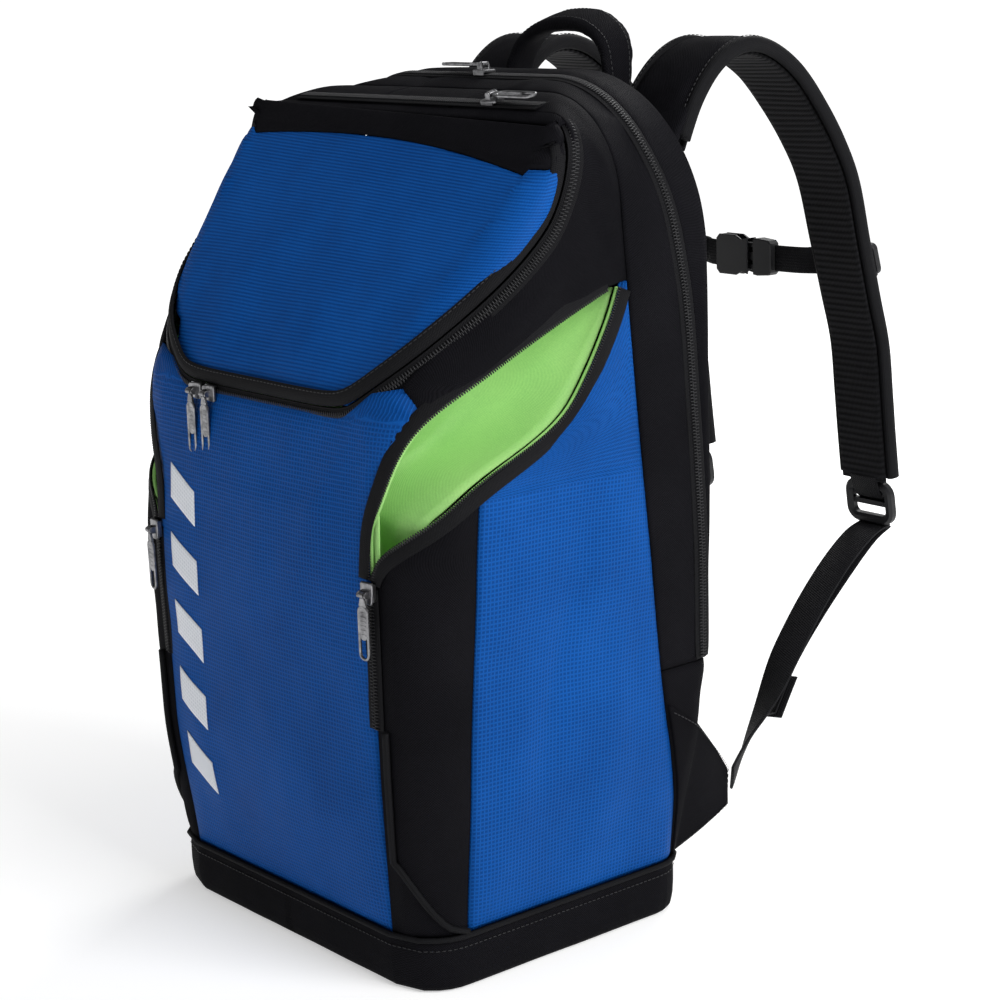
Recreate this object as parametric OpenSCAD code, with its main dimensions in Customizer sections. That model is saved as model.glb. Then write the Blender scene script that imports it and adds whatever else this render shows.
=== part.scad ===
// Racket backpack: a tall soft pack with a sloping front lid, two S-zipped
// bottle pockets, a racket compartment against the back and a padded harness.
//
// Frame: origin at the centre of the underside of the base, +Z up, -Y front,
// +Y towards the wearer's back, +X the wearer's right.  Millimetres.

/* [Body] */
// Width of the base tray
base_w = 270; // [240:1:300]
// Width of the bag at mid height
body_w = 302; // [280:1:330]
// Distance of the front face from the origin, at mid height
front_y = 118; // [110:1:125]
// Distance of the back face from the origin
back_y = 116; // [112:1:120]
// Height of the lid's lower edge
lid_low_z = 345; // [335:1:355]
// Height of the lid's top edge
lid_top_z = 504; // [500:1:508]
// Height of the top of the bag
top_z = 523; // [518:1:530]
// Thickness of the lined fabric panels
panel_t = 3; // [2:0.5:4]
// Height of the base tray's wall
tray_h = 34; // [26:1:40]

/* [Lid] */
// How far the lid is shown open
lid_open = 0; // [0:1:105]

/* [Harness] */
// Width of a shoulder strap at the shoulder
strap_w = 62; // [50:1:70]
// Thickness of a shoulder strap
strap_t = 13; // [10:1:16]
// Width of the webbing
webbing_w = 25; // [20:1:30]
// Thickness of the webbing
webbing_t = 2; // [1.4:0.2:2.4]

/* [Zips] */
// Width of a zip from tape edge to tape edge
zip_w = 12; // [10:1:13]
// Length of a slider's pull
pull_len = 38; // [30:1:44]

/* [Hidden] */
$fn = 32;
eps = 0.01;
gap = 0.4;

BLUE = [0.05, 0.22, 0.60];
BLACK = [0.05, 0.05, 0.06];
LIME = [0.55, 0.85, 0.15];
METAL = [0.45, 0.45, 0.47];
WHITE = [0.92, 0.93, 0.95];

function mix(a, b, u) = a + (b - a) * u;
function unit(v) = v / norm(v);
function clamp(v, lo, hi) = min(max(v, lo), hi);
function mirrored(p) = [-p[0], p[1], p[2]];
function arc_drop(r, q) = r * (1 - sqrt(1 - pow(clamp(q, 0, 1), 2)));
// Smooth interpolation through [position, value] stations
function ease(u) = u * u * (3 - 2 * u);
function station(x, tab, i = 0) =
    (i >= len(tab) - 2 || x < tab[i + 1][0]) ? i : station(x, tab, i + 1);
function smooth(x, tab) =
    let (i = station(x, tab), a = tab[i], b = tab[i + 1],
         u = clamp((x - a[0]) / (b[0] - a[0]), 0, 1))
    mix(a[1], b[1], mix(u, ease(u), 0.35));

// ---- Outer form -------------------------------------------------------
half_base = base_w / 2;
half_body = body_w / 2;
SIDE = [[0, half_base - 2], [tray_h, half_base], [120, half_body - 6],
        [240, half_body], [520, half_body]];
FRONT = [[0, -front_y + 14], [tray_h, -front_y + 10], [120, -front_y + 2],
         [240, -front_y], [lid_low_z, -front_y + 6], [372, -front_y + 20],
         [lid_top_z, 0], [530, 0]];
BACK = [[0, back_y - 14], [40, back_y - 10], [120, back_y - 3], [180, back_y], [530, back_y]];
FRONT_ROUND = [[0, 30], [200, 38], [300, 42], [lid_low_z, 46], [372, 42],
               [430, 24], [480, 14], [530, 12]];
BACK_ROUND = [[0, 30], [60, 26], [140, 16], [170, 10], [530, 10]];
TOP = [[0, lid_top_z], [30, top_z - 10], [80, top_z], [back_y, top_z - 1]];
TOP_ROUND = [[0, 10], [25, 42], [60, 80], [back_y, 106]];

// The hoop coordinate t is the height on the side up to T_SIDE, then runs over
// the shoulder to T_FLAT at x = FLAT_X, and on across the top to T_MID.
T_SIDE = 400;
T_FLAT = 600;
FLAT_X = 40;
T_MID = T_FLAT + FLAT_X;

function front_at(t) = smooth(min(t, 530), FRONT);
function edge_x(t) = smooth(t, SIDE) - smooth(t, FRONT_ROUND);
// The y that stands for the middle of the front in the wrapped coordinate
function mid_y(t) = front_at(t) - edge_x(t);

function hoop(t, y) =
    let (back_in = y > 0 ? arc_drop(smooth(t, BACK_ROUND),
             (y - smooth(min(t, 530), BACK) + smooth(t, BACK_ROUND)) / smooth(t, BACK_ROUND)) : 0,
         r = smooth(y, TOP_ROUND) - back_in * 0.5,
         w = half_body - back_in,
         zt = smooth(y, TOP) - back_in,
         zc = zt - r,
         full = zc + r * PI / 2 + (w - r) - FLAT_X,
         h = t <= T_SIDE ? t : mix(T_SIDE, full, (t - T_SIDE) / (T_FLAT - T_SIDE)),
         a = clamp((h - zc) / r, 0, PI / 2) * 180 / PI,
         over = max(0, h - zc - r * PI / 2))
    t > T_FLAT ? [T_MID - t, y, zt]
    : h > zc ? [w - r + r * cos(a) - over, y, zc + r * sin(a)]
    : [smooth(h, SIDE) - back_in - arc_drop(smooth(h, FRONT_ROUND),
           (front_at(h) + smooth(h, FRONT_ROUND) - y) / smooth(h, FRONT_ROUND)), y, h];

function bulge(x, t) =
    6 * (1 - pow(clamp(x / edge_x(t), -1, 1), 2)) * clamp((t - 40) / 60, 0, 1)
      * clamp((lid_low_z - t) / 60, 0, 1);

// A point of the right half of the skin.  In front of the corner, y runs on
// across the front face as a wrapped coordinate.
function skin(t, y) =
    y >= front_at(t) || t > lid_top_z ? hoop(t, y)
    : let (x = edge_x(t) + y - front_at(t)) [x, front_at(t) - bulge(x, t), t];

// Inward from a skin point, towards a box round the middle of the bag
CORE_LO = [-100, -20, 70];
CORE_HI = [100, 60, 400];
function core(p) = [for (i = [0:2]) clamp(p[i], CORE_LO[i], CORE_HI[i])];
function inward(p, d) = d == 0 ? p : p + d * unit(core(p) - p);

// ---- Seam lines: wrapped y at hoop coordinate t -----------------------
LID_EDGE = [[lid_low_z, -134], [352, -118], [362, -105], [372, -95], [390, -79],
            [411, -53], [427, -34], [443, -16], [459, -3], [480, 4], [T_MID, 5]];
POCKET_FRONT = [[253, -115], [277, -116], [300, -113], [326, -107], [346, -95],
                [363, -71], [378, -36], [394, -2], [408, 38]];
POCKET_REAR = [[253, -114], [267, -107], [286, -94], [304, -75], [318, -38],
               [333, -7], [357, 13], [376, 25], [390, 33], [408, 40]];
CORNER_SEAM = [[0, -75], [120, -78], [240, -74], [304, -69]];
REAR_SEAM = [[0, 96], [76, 88], [146, 75], [212, 65], [275, 58], [337, 52],
             [408, 46], [460, 42], [520, 40], [T_MID, 42]];
RACKET_ZIP = [[165, 106], [204, 104], [268, 101], [330, 97], [391, 92], [428, 85],
              [457, 78], [490, 71], [560, 66], [T_MID, 66]];
POCKET_LOW = POCKET_FRONT[0][0];
POCKET_TOP = POCKET_FRONT[len(POCKET_FRONT) - 1][0];
CORNER_TIP = 300;
RACKET_END = RACKET_ZIP[0][0];
SHOULDER_TIP = 343;
TRIANGLE_TOP = 362;

function seam(tab, t) = smooth(t, tab);
function rear_limit(t) = smooth(min(t, 530), BACK);

// ---- Building blocks --------------------------------------------------
// A closed sheet between two grids of points, outer then inner
module slab(outer, inner) {
    rows = len(outer);
    cols = len(outer[0]);
    n = rows * cols;
    function id(i, j, k) = k * n + i * cols + j;
    function quad(a, b, c, d) = [[a, b, c], [a, c, d]];
    faces = [
        for (i = [0:rows - 2], j = [0:cols - 2], k = [0, 1])
            each (k == 0 ? quad(id(i, j, 0), id(i + 1, j, 0), id(i + 1, j + 1, 0), id(i, j + 1, 0))
                         : quad(id(i, j, 1), id(i, j + 1, 1), id(i + 1, j + 1, 1), id(i + 1, j, 1))),
        for (i = [0:rows - 2])
            each concat(quad(id(i, 0, 0), id(i, 0, 1), id(i + 1, 0, 1), id(i + 1, 0, 0)),
                        quad(id(i + 1, cols - 1, 0), id(i + 1, cols - 1, 1),
                             id(i, cols - 1, 1), id(i, cols - 1, 0))),
        for (j = [0:cols - 2])
            each concat(quad(id(0, j + 1, 0), id(0, j + 1, 1), id(0, j, 1), id(0, j, 0)),
                        quad(id(rows - 1, j, 0), id(rows - 1, j, 1),
                             id(rows - 1, j + 1, 1), id(rows - 1, j + 1, 0)))];
    polyhedron(points = concat([for (r = outer) each r], [for (r = inner) each r]), faces = faces);
}

// A fabric panel of the right side: t from t0 to t1, y from ya(t) to yb(t)
module panel(t0, t1, ya, yb, rows = 12, cols = 6, depth = 0, thick = panel_t) {
    outer = [for (i = [0:rows]) let (t = mix(t0, t1, i / rows))
        [for (j = [0:cols]) inward(skin(t, mix(ya(t), yb(t), j / cols)), depth)]];
    inner = [for (r = outer) [for (p = r) inward(p, thick)]];
    slab(outer, inner);
}

// A profile, a closed polygon in [sideways, outward], swept along points.
// normals point away from the surface the profile lies on.
// widths scales the profile sideways at each point.
module sweep(points, normals, profile, widths = []) {
    n = len(points);
    m = len(profile);
    rings = [for (i = [0:n - 1])
        let (tangent = unit(points[min(i + 1, n - 1)] - points[max(i - 1, 0)]),
             across = unit(cross(tangent, normals[i])),
             out = cross(across, tangent),
             w = len(widths) == 0 ? 1 : widths[i])
        [for (q = profile) points[i] + q[0] * w * across + q[1] * out]];
    function id(i, j) = i * m + j % m;
    polyhedron(points = [for (r = rings) each r],
        faces = [for (i = [0:n - 2], j = [0:m - 1])
                    each [[id(i, j), id(i + 1, j), id(i + 1, j + 1)],
                          [id(i, j), id(i + 1, j + 1), id(i, j + 1)]],
                 [for (j = [0:m - 1]) id(0, j)],
                 [for (j = [m - 1:-1:0]) id(n - 1, j)]]);
}

function outward(p) = -unit(core(p) - p);
function skin_normal(t, y) = unit(cross(skin(t, y + 1) - skin(t, y - 1), skin(t + 1, y) - skin(t - 1, y)));
function flat_profile(w, h) = [[-w / 2, 0], [-w / 2, h], [w / 2, h], [w / 2, 0]];
function round_profile(r) = [for (a = [0:45:315]) [r * cos(a), r + r * sin(a)]];
TAPE_T = 0.8;
COIL_T = 2;
ZIP_LIFT = 0.5;
function zip_profile(w) = [[-w / 2, 0], [-w / 2, TAPE_T], [-3, TAPE_T], [-2, COIL_T],
                           [2, COIL_T], [3, TAPE_T], [w / 2, TAPE_T], [w / 2, 0]];

module on_skin(points, profile, lift = 0.1) {
    sweep([for (p = points) p + outward(p) * lift], [for (p = points) outward(p)], profile);
}

module left() {
    mirror([1, 0, 0]) children();
}

module both_sides() {
    children();
    left() children();
}

// Local +X runs along dir, +Z along up
module place(at, dir, up) {
    x = unit(dir);
    y = unit(cross(up, x));
    z = cross(x, y);
    multmatrix([[x[0], y[0], z[0], at[0]], [x[1], y[1], z[1], at[1]],
                [x[2], y[2], z[2], at[2]], [0, 0, 0, 1]]) children();
}

module rounded_box(size, r) {
    linear_extrude(size[2]) rounded_rect(size[0], size[1], r);
}

module rounded_rect(w, l, r) {
    square([w - 2 * r, l], center = true);
    square([w, l - 2 * r], center = true);
    for (sx = [-1, 1], sy = [-1, 1])
        translate([sx * (w / 2 - r), sy * (l / 2 - r)]) circle(r);
}

module stadium(l, w) {
    square([l - w, w], center = true);
    for (s = [-1, 1]) translate([s * (l - w) / 2, 0]) circle(w / 2);
}

// A smooth curve through hand-placed points, n steps to a span
function catmull(p, i, u) =
    let (a = p[max(i - 1, 0)], b = p[i], c = p[i + 1], d = p[min(i + 2, len(p) - 1)])
    0.5 * (2 * b + (c - a) * u + (2 * a - 5 * b + 4 * c - d) * u * u
           + (3 * b - a - 3 * c + d) * u * u * u);
function spline(p, n) = [for (i = [0:len(p) - 2], k = [0:n - 1]) catmull(p, i, k / n), p[len(p) - 1]];
// Normals of a strip that stays level across its width
function level_normals(p) = [for (i = [0:len(p) - 1])
    let (t = unit(p[min(i + 1, len(p) - 1)] - p[max(i - 1, 0)])) unit(cross([1, 0, 0], t))];
function strap_profile(w, h) = [[-w / 2, h * 0.3], [-w / 2, h * 0.7], [-w * 0.45, h], [w * 0.45, h],
                                [w / 2, h * 0.7], [w / 2, h * 0.3], [w * 0.45, 0], [-w * 0.45, 0]];

// ---- Base -------------------------------------------------------------
TRAY_PROUD = 1.2;
function ring_half(t) = [
    for (k = [0:24]) let (y = mix(mid_y(t), rear_limit(t), k / 24), p = skin(t, y)) [p[0], p[1]]];
function ring(t) = let (h = ring_half(t)) concat(h, [for (k = [len(h) - 1:-1:1]) [-h[k][0], h[k][1]]]);

module base_outline(grow) {
    offset(delta = grow) polygon(ring(tray_h));
}

module base_tray() {
    color(BLACK) difference() {
        linear_extrude(tray_h) base_outline(TRAY_PROUD);
        translate([0, 0, 3]) linear_extrude(tray_h) base_outline(TRAY_PROUD - 3);
    }
}

module base_board() {
    color(BLACK) translate([0, 0, 3.2]) rounded_box([230, 180, 4], 20);
}

// ---- Front and side panels --------------------------------------------
SEAM_GAP = 0.15;

function front_limit(t) =
    (t < POCKET_LOW ? front_at(t) : seam(POCKET_FRONT, t)) - gap;

module front_panel() {
    rows = 14;
    cols = 10;
    t0 = tray_h + gap;
    // The lower edge of the lid is cut back at its rounded corners
    function top_at(s) = lid_low_z - 8 + 20 * pow(abs(s), 6) * (1 - pow(abs(s), 24));
    outer = [for (i = [0:rows]) [for (j = [-cols:cols])
        let (s = j / cols, t = mix(t0, top_at(s), i / rows),
             p = skin(t, mix(mid_y(t), front_limit(t), abs(s))))
        s < 0 ? mirrored(p) : p]];
    inner = [for (r = outer) [for (p = r) inward(p, panel_t)]];
    color(BLUE) slab(outer, inner);
}

module corner_panel() {
    function ya(t) = t < POCKET_LOW ? front_at(t) : seam(POCKET_REAR, t);
    color(BLACK) panel(tray_h + gap, CORNER_TIP, function(t) ya(t),
        function(t) seam(CORNER_SEAM, t) - SEAM_GAP, 16, 5);
}

module side_panel() {
    color(BLUE) panel(tray_h + gap, POCKET_TOP,
        function(t) (t < CORNER_TIP ? seam(CORNER_SEAM, t) : seam(POCKET_REAR, t)) + SEAM_GAP,
        function(t) seam(REAR_SEAM, t) - SEAM_GAP, 20, 6);
}

function lid_edge(t) = seam(LID_EDGE, t);
module shoulder_panel() {
    function ya(t) = t < TRIANGLE_TOP ? mix(seam(POCKET_FRONT, SHOULDER_TIP), lid_edge(TRIANGLE_TOP) + 3,
                                            (t - SHOULDER_TIP) / (TRIANGLE_TOP - SHOULDER_TIP))
                                      : lid_edge(t) + 3;
    function yb(t) = t < POCKET_TOP ? seam(POCKET_FRONT, t) - gap : seam(REAR_SEAM, t) - SEAM_GAP;
    color(BLACK) panel(SHOULDER_TIP, T_FLAT, function(t) ya(t), function(t) yb(t), 22, 6);
}

module top_panel() {
    rows = 6;
    y0 = lid_edge(T_FLAT) + 3;
    y1 = seam(REAR_SEAM, T_FLAT) - SEAM_GAP;
    outer = [for (i = [0:rows]) let (y = mix(y0, y1, i / rows))
        [for (j = [-4:4]) let (x = (FLAT_X - SEAM_GAP) * j / 4) [-x, y, hoop(T_FLAT, y)[2]]]];
    inner = [for (r = outer) [for (p = r) inward(p, panel_t)]];
    color(BLACK) slab(outer, inner);
}

ZIP_CLEAR = 2.5;
TAPE_CLEAR = zip_w / 2 + gap;
module gusset_front() {
    color(BLACK) band(function(t) seam(REAR_SEAM, t) + SEAM_GAP,
                      function(t) seam(RACKET_ZIP, t) - ZIP_CLEAR);
}

module gusset_rear() {
    color(BLACK) band(function(t) seam(RACKET_ZIP, t) + TAPE_CLEAR, function(t) back_y - 0.2);
}

// A band right over the arch, from the foot of the racket zip on one side to
// the foot on the other
module band(ya, yb) {
    side_rows = 20;
    ts = [for (i = [0:side_rows]) mix(RACKET_END + gap, T_FLAT, i / side_rows), T_MID];
    half = [for (t = ts) [for (j = [0:3]) skin(t, mix(ya(t), yb(t), j / 3))]];
    outer = concat(half, [for (k = [len(half) - 2:-1:0]) [for (p = half[k]) mirrored(p)]]);
    inner = [for (r = outer) [for (p = r) inward(p, panel_t)]];
    slab(outer, inner);
}

module lower_block() {
    color(BLACK) panel(tray_h + gap, RACKET_END - gap, function(t) seam(REAR_SEAM, t) + SEAM_GAP,
        function(t) rear_limit(t), 10, 4);
}

module lower_back() {
    outer = [for (i = [0:8]) let (t = mix(tray_h + gap, RACKET_END - gap, i / 8),
                                  x = skin(t, rear_limit(t))[0] - gap)
        [for (j = [0:6]) [mix(x, -x, j / 6), rear_limit(t), t]]];
    inner = [for (r = outer) [for (p = r) p - [0, panel_t, 0]]];
    color(BLACK) slab(outer, inner);
}

// ---- Bottle pockets ---------------------------------------------------
POCKET_DEPTH = 52;
POCKET_FLOOR = 196;
LINING_TURN = 285;
module pocket_lining() {
    rows = 16;
    cols = 8;
    function ya(t) = max(front_at(t) + 6, seam(POCKET_FRONT, t) - 1);
    function yb(t) = max(ya(t) + 14, t > LINING_TURN ? seam(POCKET_REAR, t) + 1
        : mix(-60, seam(POCKET_REAR, LINING_TURN), (t - POCKET_FLOOR) / (LINING_TURN - POCKET_FLOOR)));
    function deep(t, v) = panel_t + 2.2 + POCKET_DEPTH * pow(sin(180 * v), 0.8)
        * pow(sin(180 * clamp((t - POCKET_FLOOR + 6) / (POCKET_TOP - POCKET_FLOOR + 12), 0, 1)), 0.6);
    outer = [for (i = [0:rows]) let (t = mix(POCKET_FLOOR, POCKET_TOP - 4, i / rows))
        [for (j = [0:cols]) let (p = skin(t, mix(ya(t), yb(t), j / cols)))
            p - [deep(t, j / cols), 0, 0]]];
    inner = [for (r = outer) [for (p = r) p - [1.2, 0, 0]]];
    color(LIME) slab(outer, inner);
}

ZIP_HALF = 8;
function pocket_path(tab, shift) = [for (i = [0:20])
    let (t = mix(tab[0][0], tab[len(tab) - 1][0] - 3, i / 20)) skin(t, seam(tab, t) + shift)];

module pocket_rim() {
    color(BLACK) {
        on_skin(pocket_path(POCKET_FRONT, -5), flat_profile(ZIP_HALF, 1.6), 0.5);
        on_skin(pocket_path(POCKET_REAR, 5), flat_profile(ZIP_HALF, 1.6), 0.5);
    }
}

CLOSED_TOP = 240;
CLOSED_LOW = 168;
function corner_line(t, shift = 0) = skin(t, front_at(t) + shift);
module pocket_zip() {
    color(BLACK) on_skin([for (i = [0:8]) corner_line(mix(CLOSED_LOW, CLOSED_TOP, i / 8))],
        zip_profile(zip_w), ZIP_LIFT);
}

module piping() {
    rise = [for (i = [0:6]) let (u = i / 6)
        skin(mix(tray_h + 4, 84, u), mix(-76, front_at(84) + 1, sqrt(u)))];
    run = [for (i = [1:5]) corner_line(mix(84, CLOSED_LOW - 4, i / 5), 1)];
    color(BLACK) on_skin(concat(rise, run), round_profile(2), 0.4);
}

// ---- Racket compartment -----------------------------------------------
module racket_zip() {
    ts = [for (i = [0:26]) mix(RACKET_END + 2, T_FLAT - 2, i / 26)];
    right = [for (t = ts) let (y = seam(RACKET_ZIP, t)) skin(t, y) + skin_normal(t, y) * ZIP_LIFT];
    normals = [for (t = ts) skin_normal(t, seam(RACKET_ZIP, t))];
    function both_halves(v) = concat(v, [for (k = [len(v) - 1:-1:0]) mirrored(v[k])]);
    color(BLACK) sweep(both_halves(right), both_halves(normals), zip_profile(zip_w));
}

module divider() {
    function wall_y(z) = smooth(z, [[tray_h, 92], [160, 90], [300, 76], [490, 50]]);
    function half_w(z) = smooth(z, [[tray_h, 118], [120, 132], [400, 140], [450, 122], [490, 84]]);
    outer = [for (i = [0:10]) let (z = mix(tray_h + 2, 490, i / 10))
        [for (j = [0:4]) [mix(half_w(z), -half_w(z), j / 4), wall_y(z) + 4, z]]];
    inner = [for (r = outer) [for (p = r) p - [0, 4, 0]]];
    color(BLACK) slab(outer, inner);
}

function back_outline(inset) = let (
    half = [for (i = [0:22]) let (t = mix(RACKET_END + 2, T_FLAT, i / 22), p = hoop(t, back_y - 0.2))
        [p[0] - inset * (p[0] / 140), p[2] - inset * (t > T_SIDE ? 0.8 : 0)]])
    concat(half, [for (k = [len(half) - 1:-1:0]) [-half[k][0], half[k][1]]]);

BACK_T = 4;
module back_board() {
    color(BLACK) translate([0, back_y, 0]) rotate([90, 0, 0]) linear_extrude(BACK_T)
        polygon(back_outline(4.2));
}

PAD_T = 13;
module cushion(w, l, t) {
    rotate([-90, 0, 0]) rounded_box([w, l, t], 16);
}

module back_pad() {
    color(BLACK) translate([62, back_y + gap, 350]) cushion(82, 210, PAD_T);
}

module lumbar_pad() {
    color(BLACK) translate([0, back_y + gap, 205]) cushion(216, 66, PAD_T);
}

module anchor_patch() {
    color(BLACK) translate([0, back_y + gap, 482]) rotate([-90, 0, 0]) rounded_box([190, 30, 3], 6);
}

// ---- Shoulder harness -------------------------------------------------
STRAP_ROUTE = [[84, 134, 474], [84, 147, 500], [85, 163, 519], [86, 183, 529], [86, 205, 526],
               [87, 228, 512], [87, 249, 490], [88, 266, 466], [88, 280, 440], [88, 291, 401],
               [88, 302, 362], [88, 311, 330], [88, 315, 296], [88, 318, 268], [88, 322, 235]];
STRAP_TAPER = 0.74;
MESH_T = 2;
WEB_ROUTE = [[88, 334, 203], [90, 314, 198], [94, 286, 183], [98, 257, 161], [102, 230, 135],
             [108, 204, 108], [115, 177, 86], [124, 154, 70]];
RAIL_FROM = 6;
RAIL_TO = 12;

function strap_curve() = spline(STRAP_ROUTE, 3);
function taper(n) = [for (i = [0:n - 1]) mix(1, STRAP_TAPER, ease(clamp(i / (n - 1) * 1.3, 0, 1)))];

module shoulder_strap() {
    p = strap_curve();
    color(BLACK) sweep(p, level_normals(p), strap_profile(strap_w, strap_t), taper(len(p)));
}

// Spacer mesh on the side that lies on the shoulder
module strap_mesh() {
    p = strap_curve();
    n = level_normals(p);
    low = [for (i = [0:len(p) - 1]) p[i] - n[i] * (MESH_T + gap)];
    color(BLACK) sweep(low, n, flat_profile(strap_w * 0.82, MESH_T), taper(len(p)));
}

function rail_curve() = let (p = strap_curve(), n = level_normals(p))
    [for (i = [RAIL_FROM * 3:RAIL_TO * 3]) p[i] + n[i] * (strap_t + gap)];
module strap_rail() {
    p = rail_curve();
    color(BLACK) sweep(p, level_normals(p), flat_profile(20, webbing_t));
}

LOCK_AT = [88, 327, 218];
LOCK_DIR = [0, -0.14, 0.99];
LOCK_OUT = [0, 0.99, 0.14];
module ladder_lock() {
    color(BLACK) place(LOCK_AT, LOCK_DIR, LOCK_OUT) difference() {
        rounded_box([26, 36, 5], 3);
        for (s = [-1, 1])
            translate([s * 6, 0, -1]) linear_extrude(8) square([6.4, 27], center = true);
    }
}

module lower_webbing() {
    p = spline(WEB_ROUTE, 4);
    color(BLACK) sweep(p, level_normals(p), flat_profile(webbing_w, webbing_t));
}

module webbing_tail() {
    p = spline([for (i = [0:5]) WEB_ROUTE[i] + [0, 2.4, -2.4 - 1.6 * i]], 4);
    color(BLACK) sweep(p, level_normals(p), flat_profile(webbing_w - 3, webbing_t * 0.8));
}

LUG_TIP = [125, 149, 66];
LUG_T = 3.6;
module lug() {
    a = [129, back_y - 6, 124];
    b = [116, back_y - 9, 36];
    shape = [a, b, LUG_TIP + [0, 0, -13], LUG_TIP + [0, 0, 13]];
    side = unit(cross(a - b, LUG_TIP - b)) * LUG_T / 2;
    pts = concat([for (p = shape) p + side], [for (p = shape) p - side]);
    color(BLACK) polyhedron(points = pts, faces = [
        [0, 1, 2], [0, 2, 3], [6, 5, 4], [7, 6, 4], for (i = [0:3]) let (j = (i + 1) % 4)
            each [[i, i + 4, j + 4], [i, j + 4, j]]]);
}

// ---- Sternum strap ----------------------------------------------------
RAIL_DIR = unit([0, 31, -110]);
RAIL_OUT = cross([1, 0, 0], RAIL_DIR);
STERNUM_Z = 384;
RAIL_AT = [88, 280, 440] + RAIL_DIR * (440 - STERNUM_Z) / -RAIL_DIR[2];
STERNUM_Y = 304;
RAIL_CLEAR = 1.2;

module sternum_sliders() {
    color(BLACK) both_sides()
        place(RAIL_AT + RAIL_OUT * (strap_t + gap + webbing_t + RAIL_CLEAR), RAIL_DIR, RAIL_OUT)
            rounded_box([22, 38, 5], 4);
}

// Webbing from the rail slider, round the strap's inner edge, to the buckle
module sternum_web(x1) {
    slider_y = RAIL_AT[1] + RAIL_OUT[1] * (strap_t + gap + webbing_t + RAIL_CLEAR) + 2;
    p = spline([[66, slider_y, STERNUM_Z], [56, slider_y - 1, STERNUM_Z], [42, STERNUM_Y + 2, STERNUM_Z],
                [x1, STERNUM_Y, STERNUM_Z]], 4);
    color(BLACK) sweep(p, [for (q = p) [0, 1, 0]], flat_profile(18, 1.8));
}

module buckle_female() {
    color(BLACK) translate([-16, STERNUM_Y + 1, STERNUM_Z]) rotate([90, 0, 0])
        difference() {
            translate([0, 0, -5]) rounded_box([30, 28, 10], 4);
            translate([5, 0, -3]) linear_extrude(6) square([24, 20], center = true);
        }
}

module buckle_male() {
    prong = 14.4;
    color(BLACK) translate([0, STERNUM_Y + 1, STERNUM_Z]) rotate([90, 0, 0]) {
        translate([12, 0, -4.5]) rounded_box([18, 26, 9], 3);
        translate([-4, 0, -2.5]) linear_extrude(5) square([prong, 6], center = true);
        for (s = [-1, 1])
            translate([-4, s * 7.6, -2.5]) linear_extrude(5) square([prong, 3.6], center = true);
    }
}

// ---- Carry handle -----------------------------------------------------
HANDLE_ROUTE = [[42, 134, 500], [42, 137, 521], [35, 142, 537], [18, 145, 546], [0, 146, 548]];
HANDLE_LEAN = [0, 0.96, 0.28];
HANDLE_BAND = 22;
HANDLE_T = 9;
function arch(half) = concat(half, [for (k = [len(half) - 2:-1:0]) mirrored(half[k])]);

module handle() {
    p = arch(spline(HANDLE_ROUTE, 4));
    n = [for (i = [0:len(p) - 1])
        unit(cross(HANDLE_LEAN, unit(p[min(i + 1, len(p) - 1)] - p[max(i - 1, 0)])))];
    w = [for (i = [0:len(p) - 1]) 0.8 + 0.3 * sin(180 * i / (len(p) - 1))];
    color(BLACK) sweep(p, n, strap_profile(HANDLE_BAND, HANDLE_T), w);
}

// ---- Lid --------------------------------------------------------------
HINGE = [0, 0, lid_top_z];
STRIP_LOW = 486;
BIND = 10;
module on_lid() {
    translate(HINGE) rotate([-lid_open, 0, 0]) translate(-HINGE) children();
}

module lid_sheet(t0, t1, inset, rows, thick, gap_top = 0) {
    cols = 9;
    outer = [for (i = [0:rows]) let (t = mix(t0, t1, i / rows))
        [for (j = [-cols:cols]) let (s = j / cols, p = skin(t, mix(mid_y(t), lid_edge(t) - inset, abs(s))))
            s < 0 ? mirrored(p) : p]];
    inner = [for (r = outer) [for (p = r) inward(p, thick)]];
    slab(outer, inner);
}

module lid_panel() {
    color(BLUE) on_lid() lid_sheet(lid_low_z + BIND, STRIP_LOW, BIND, 12, panel_t);
}

module lid_strip() {
    color(BLACK) on_lid() lid_sheet(STRIP_LOW + gap, lid_top_z - 2, BIND - 4, 3, panel_t);
}

// The lid's edge from the top right corner, round the bottom, to the top left
function edge_half() = [
    for (i = [0:18]) let (u = i / 18, t = mix(lid_top_z - 8, lid_low_z, 1 - pow(1 - u, 1.6)))
        skin(t, lid_edge(t)),
    for (i = [1:3]) let (x0 = skin(lid_low_z, lid_edge(lid_low_z))[0])
        skin(lid_low_z, front_at(lid_low_z) - edge_x(lid_low_z) + x0 * (1 - i / 3))];
function edge_path() = arch(edge_half());
function shifted(p, d) = [for (i = [0:len(p) - 1])
    let (t = unit(p[min(i + 1, len(p) - 1)] - p[max(i - 1, 0)])) p[i] + unit(cross(t, outward(p[i]))) * d];

module lid_binding() {
    color(BLACK) on_lid() on_skin(shifted(edge_path(), 5), flat_profile(9, 2.6), 0.3);
}

module lid_zip() {
    color(BLACK) on_skin(shifted(edge_path(), -5), zip_profile(zip_w - 2), ZIP_LIFT);
}

module top_zip() {
    path = [for (i = [0:10]) let (x = mix(118, -118, i / 10)) [x, TOP_ZIP_Y, top_at_x(abs(x))]];
    raised = [for (p = path) p + [0, 0, ZIP_LIFT]];
    color(BLACK) sweep(raised, [for (p = path) TOP_ZIP_OUT], zip_profile(zip_w));
}
TOP_ZIP_Y = 14;
TOP_ZIP_OUT = [0, -0.3, 1];
function top_at_x(x) = let (r = smooth(TOP_ZIP_Y, TOP_ROUND)) smooth(TOP_ZIP_Y, TOP)
    - arc_drop(r, (x - (half_body - r)) / r);

// ---- Sliders and pulls ------------------------------------------------
SLIDER_L = 13;
SLIDER_W = 10;
SLIDER_Z = COIL_T + 1;
BAR_Z = SLIDER_Z + 4.4;
BAR_R = 0.9;
EYE_R = 1;
PULL_T = 1.6;

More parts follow.
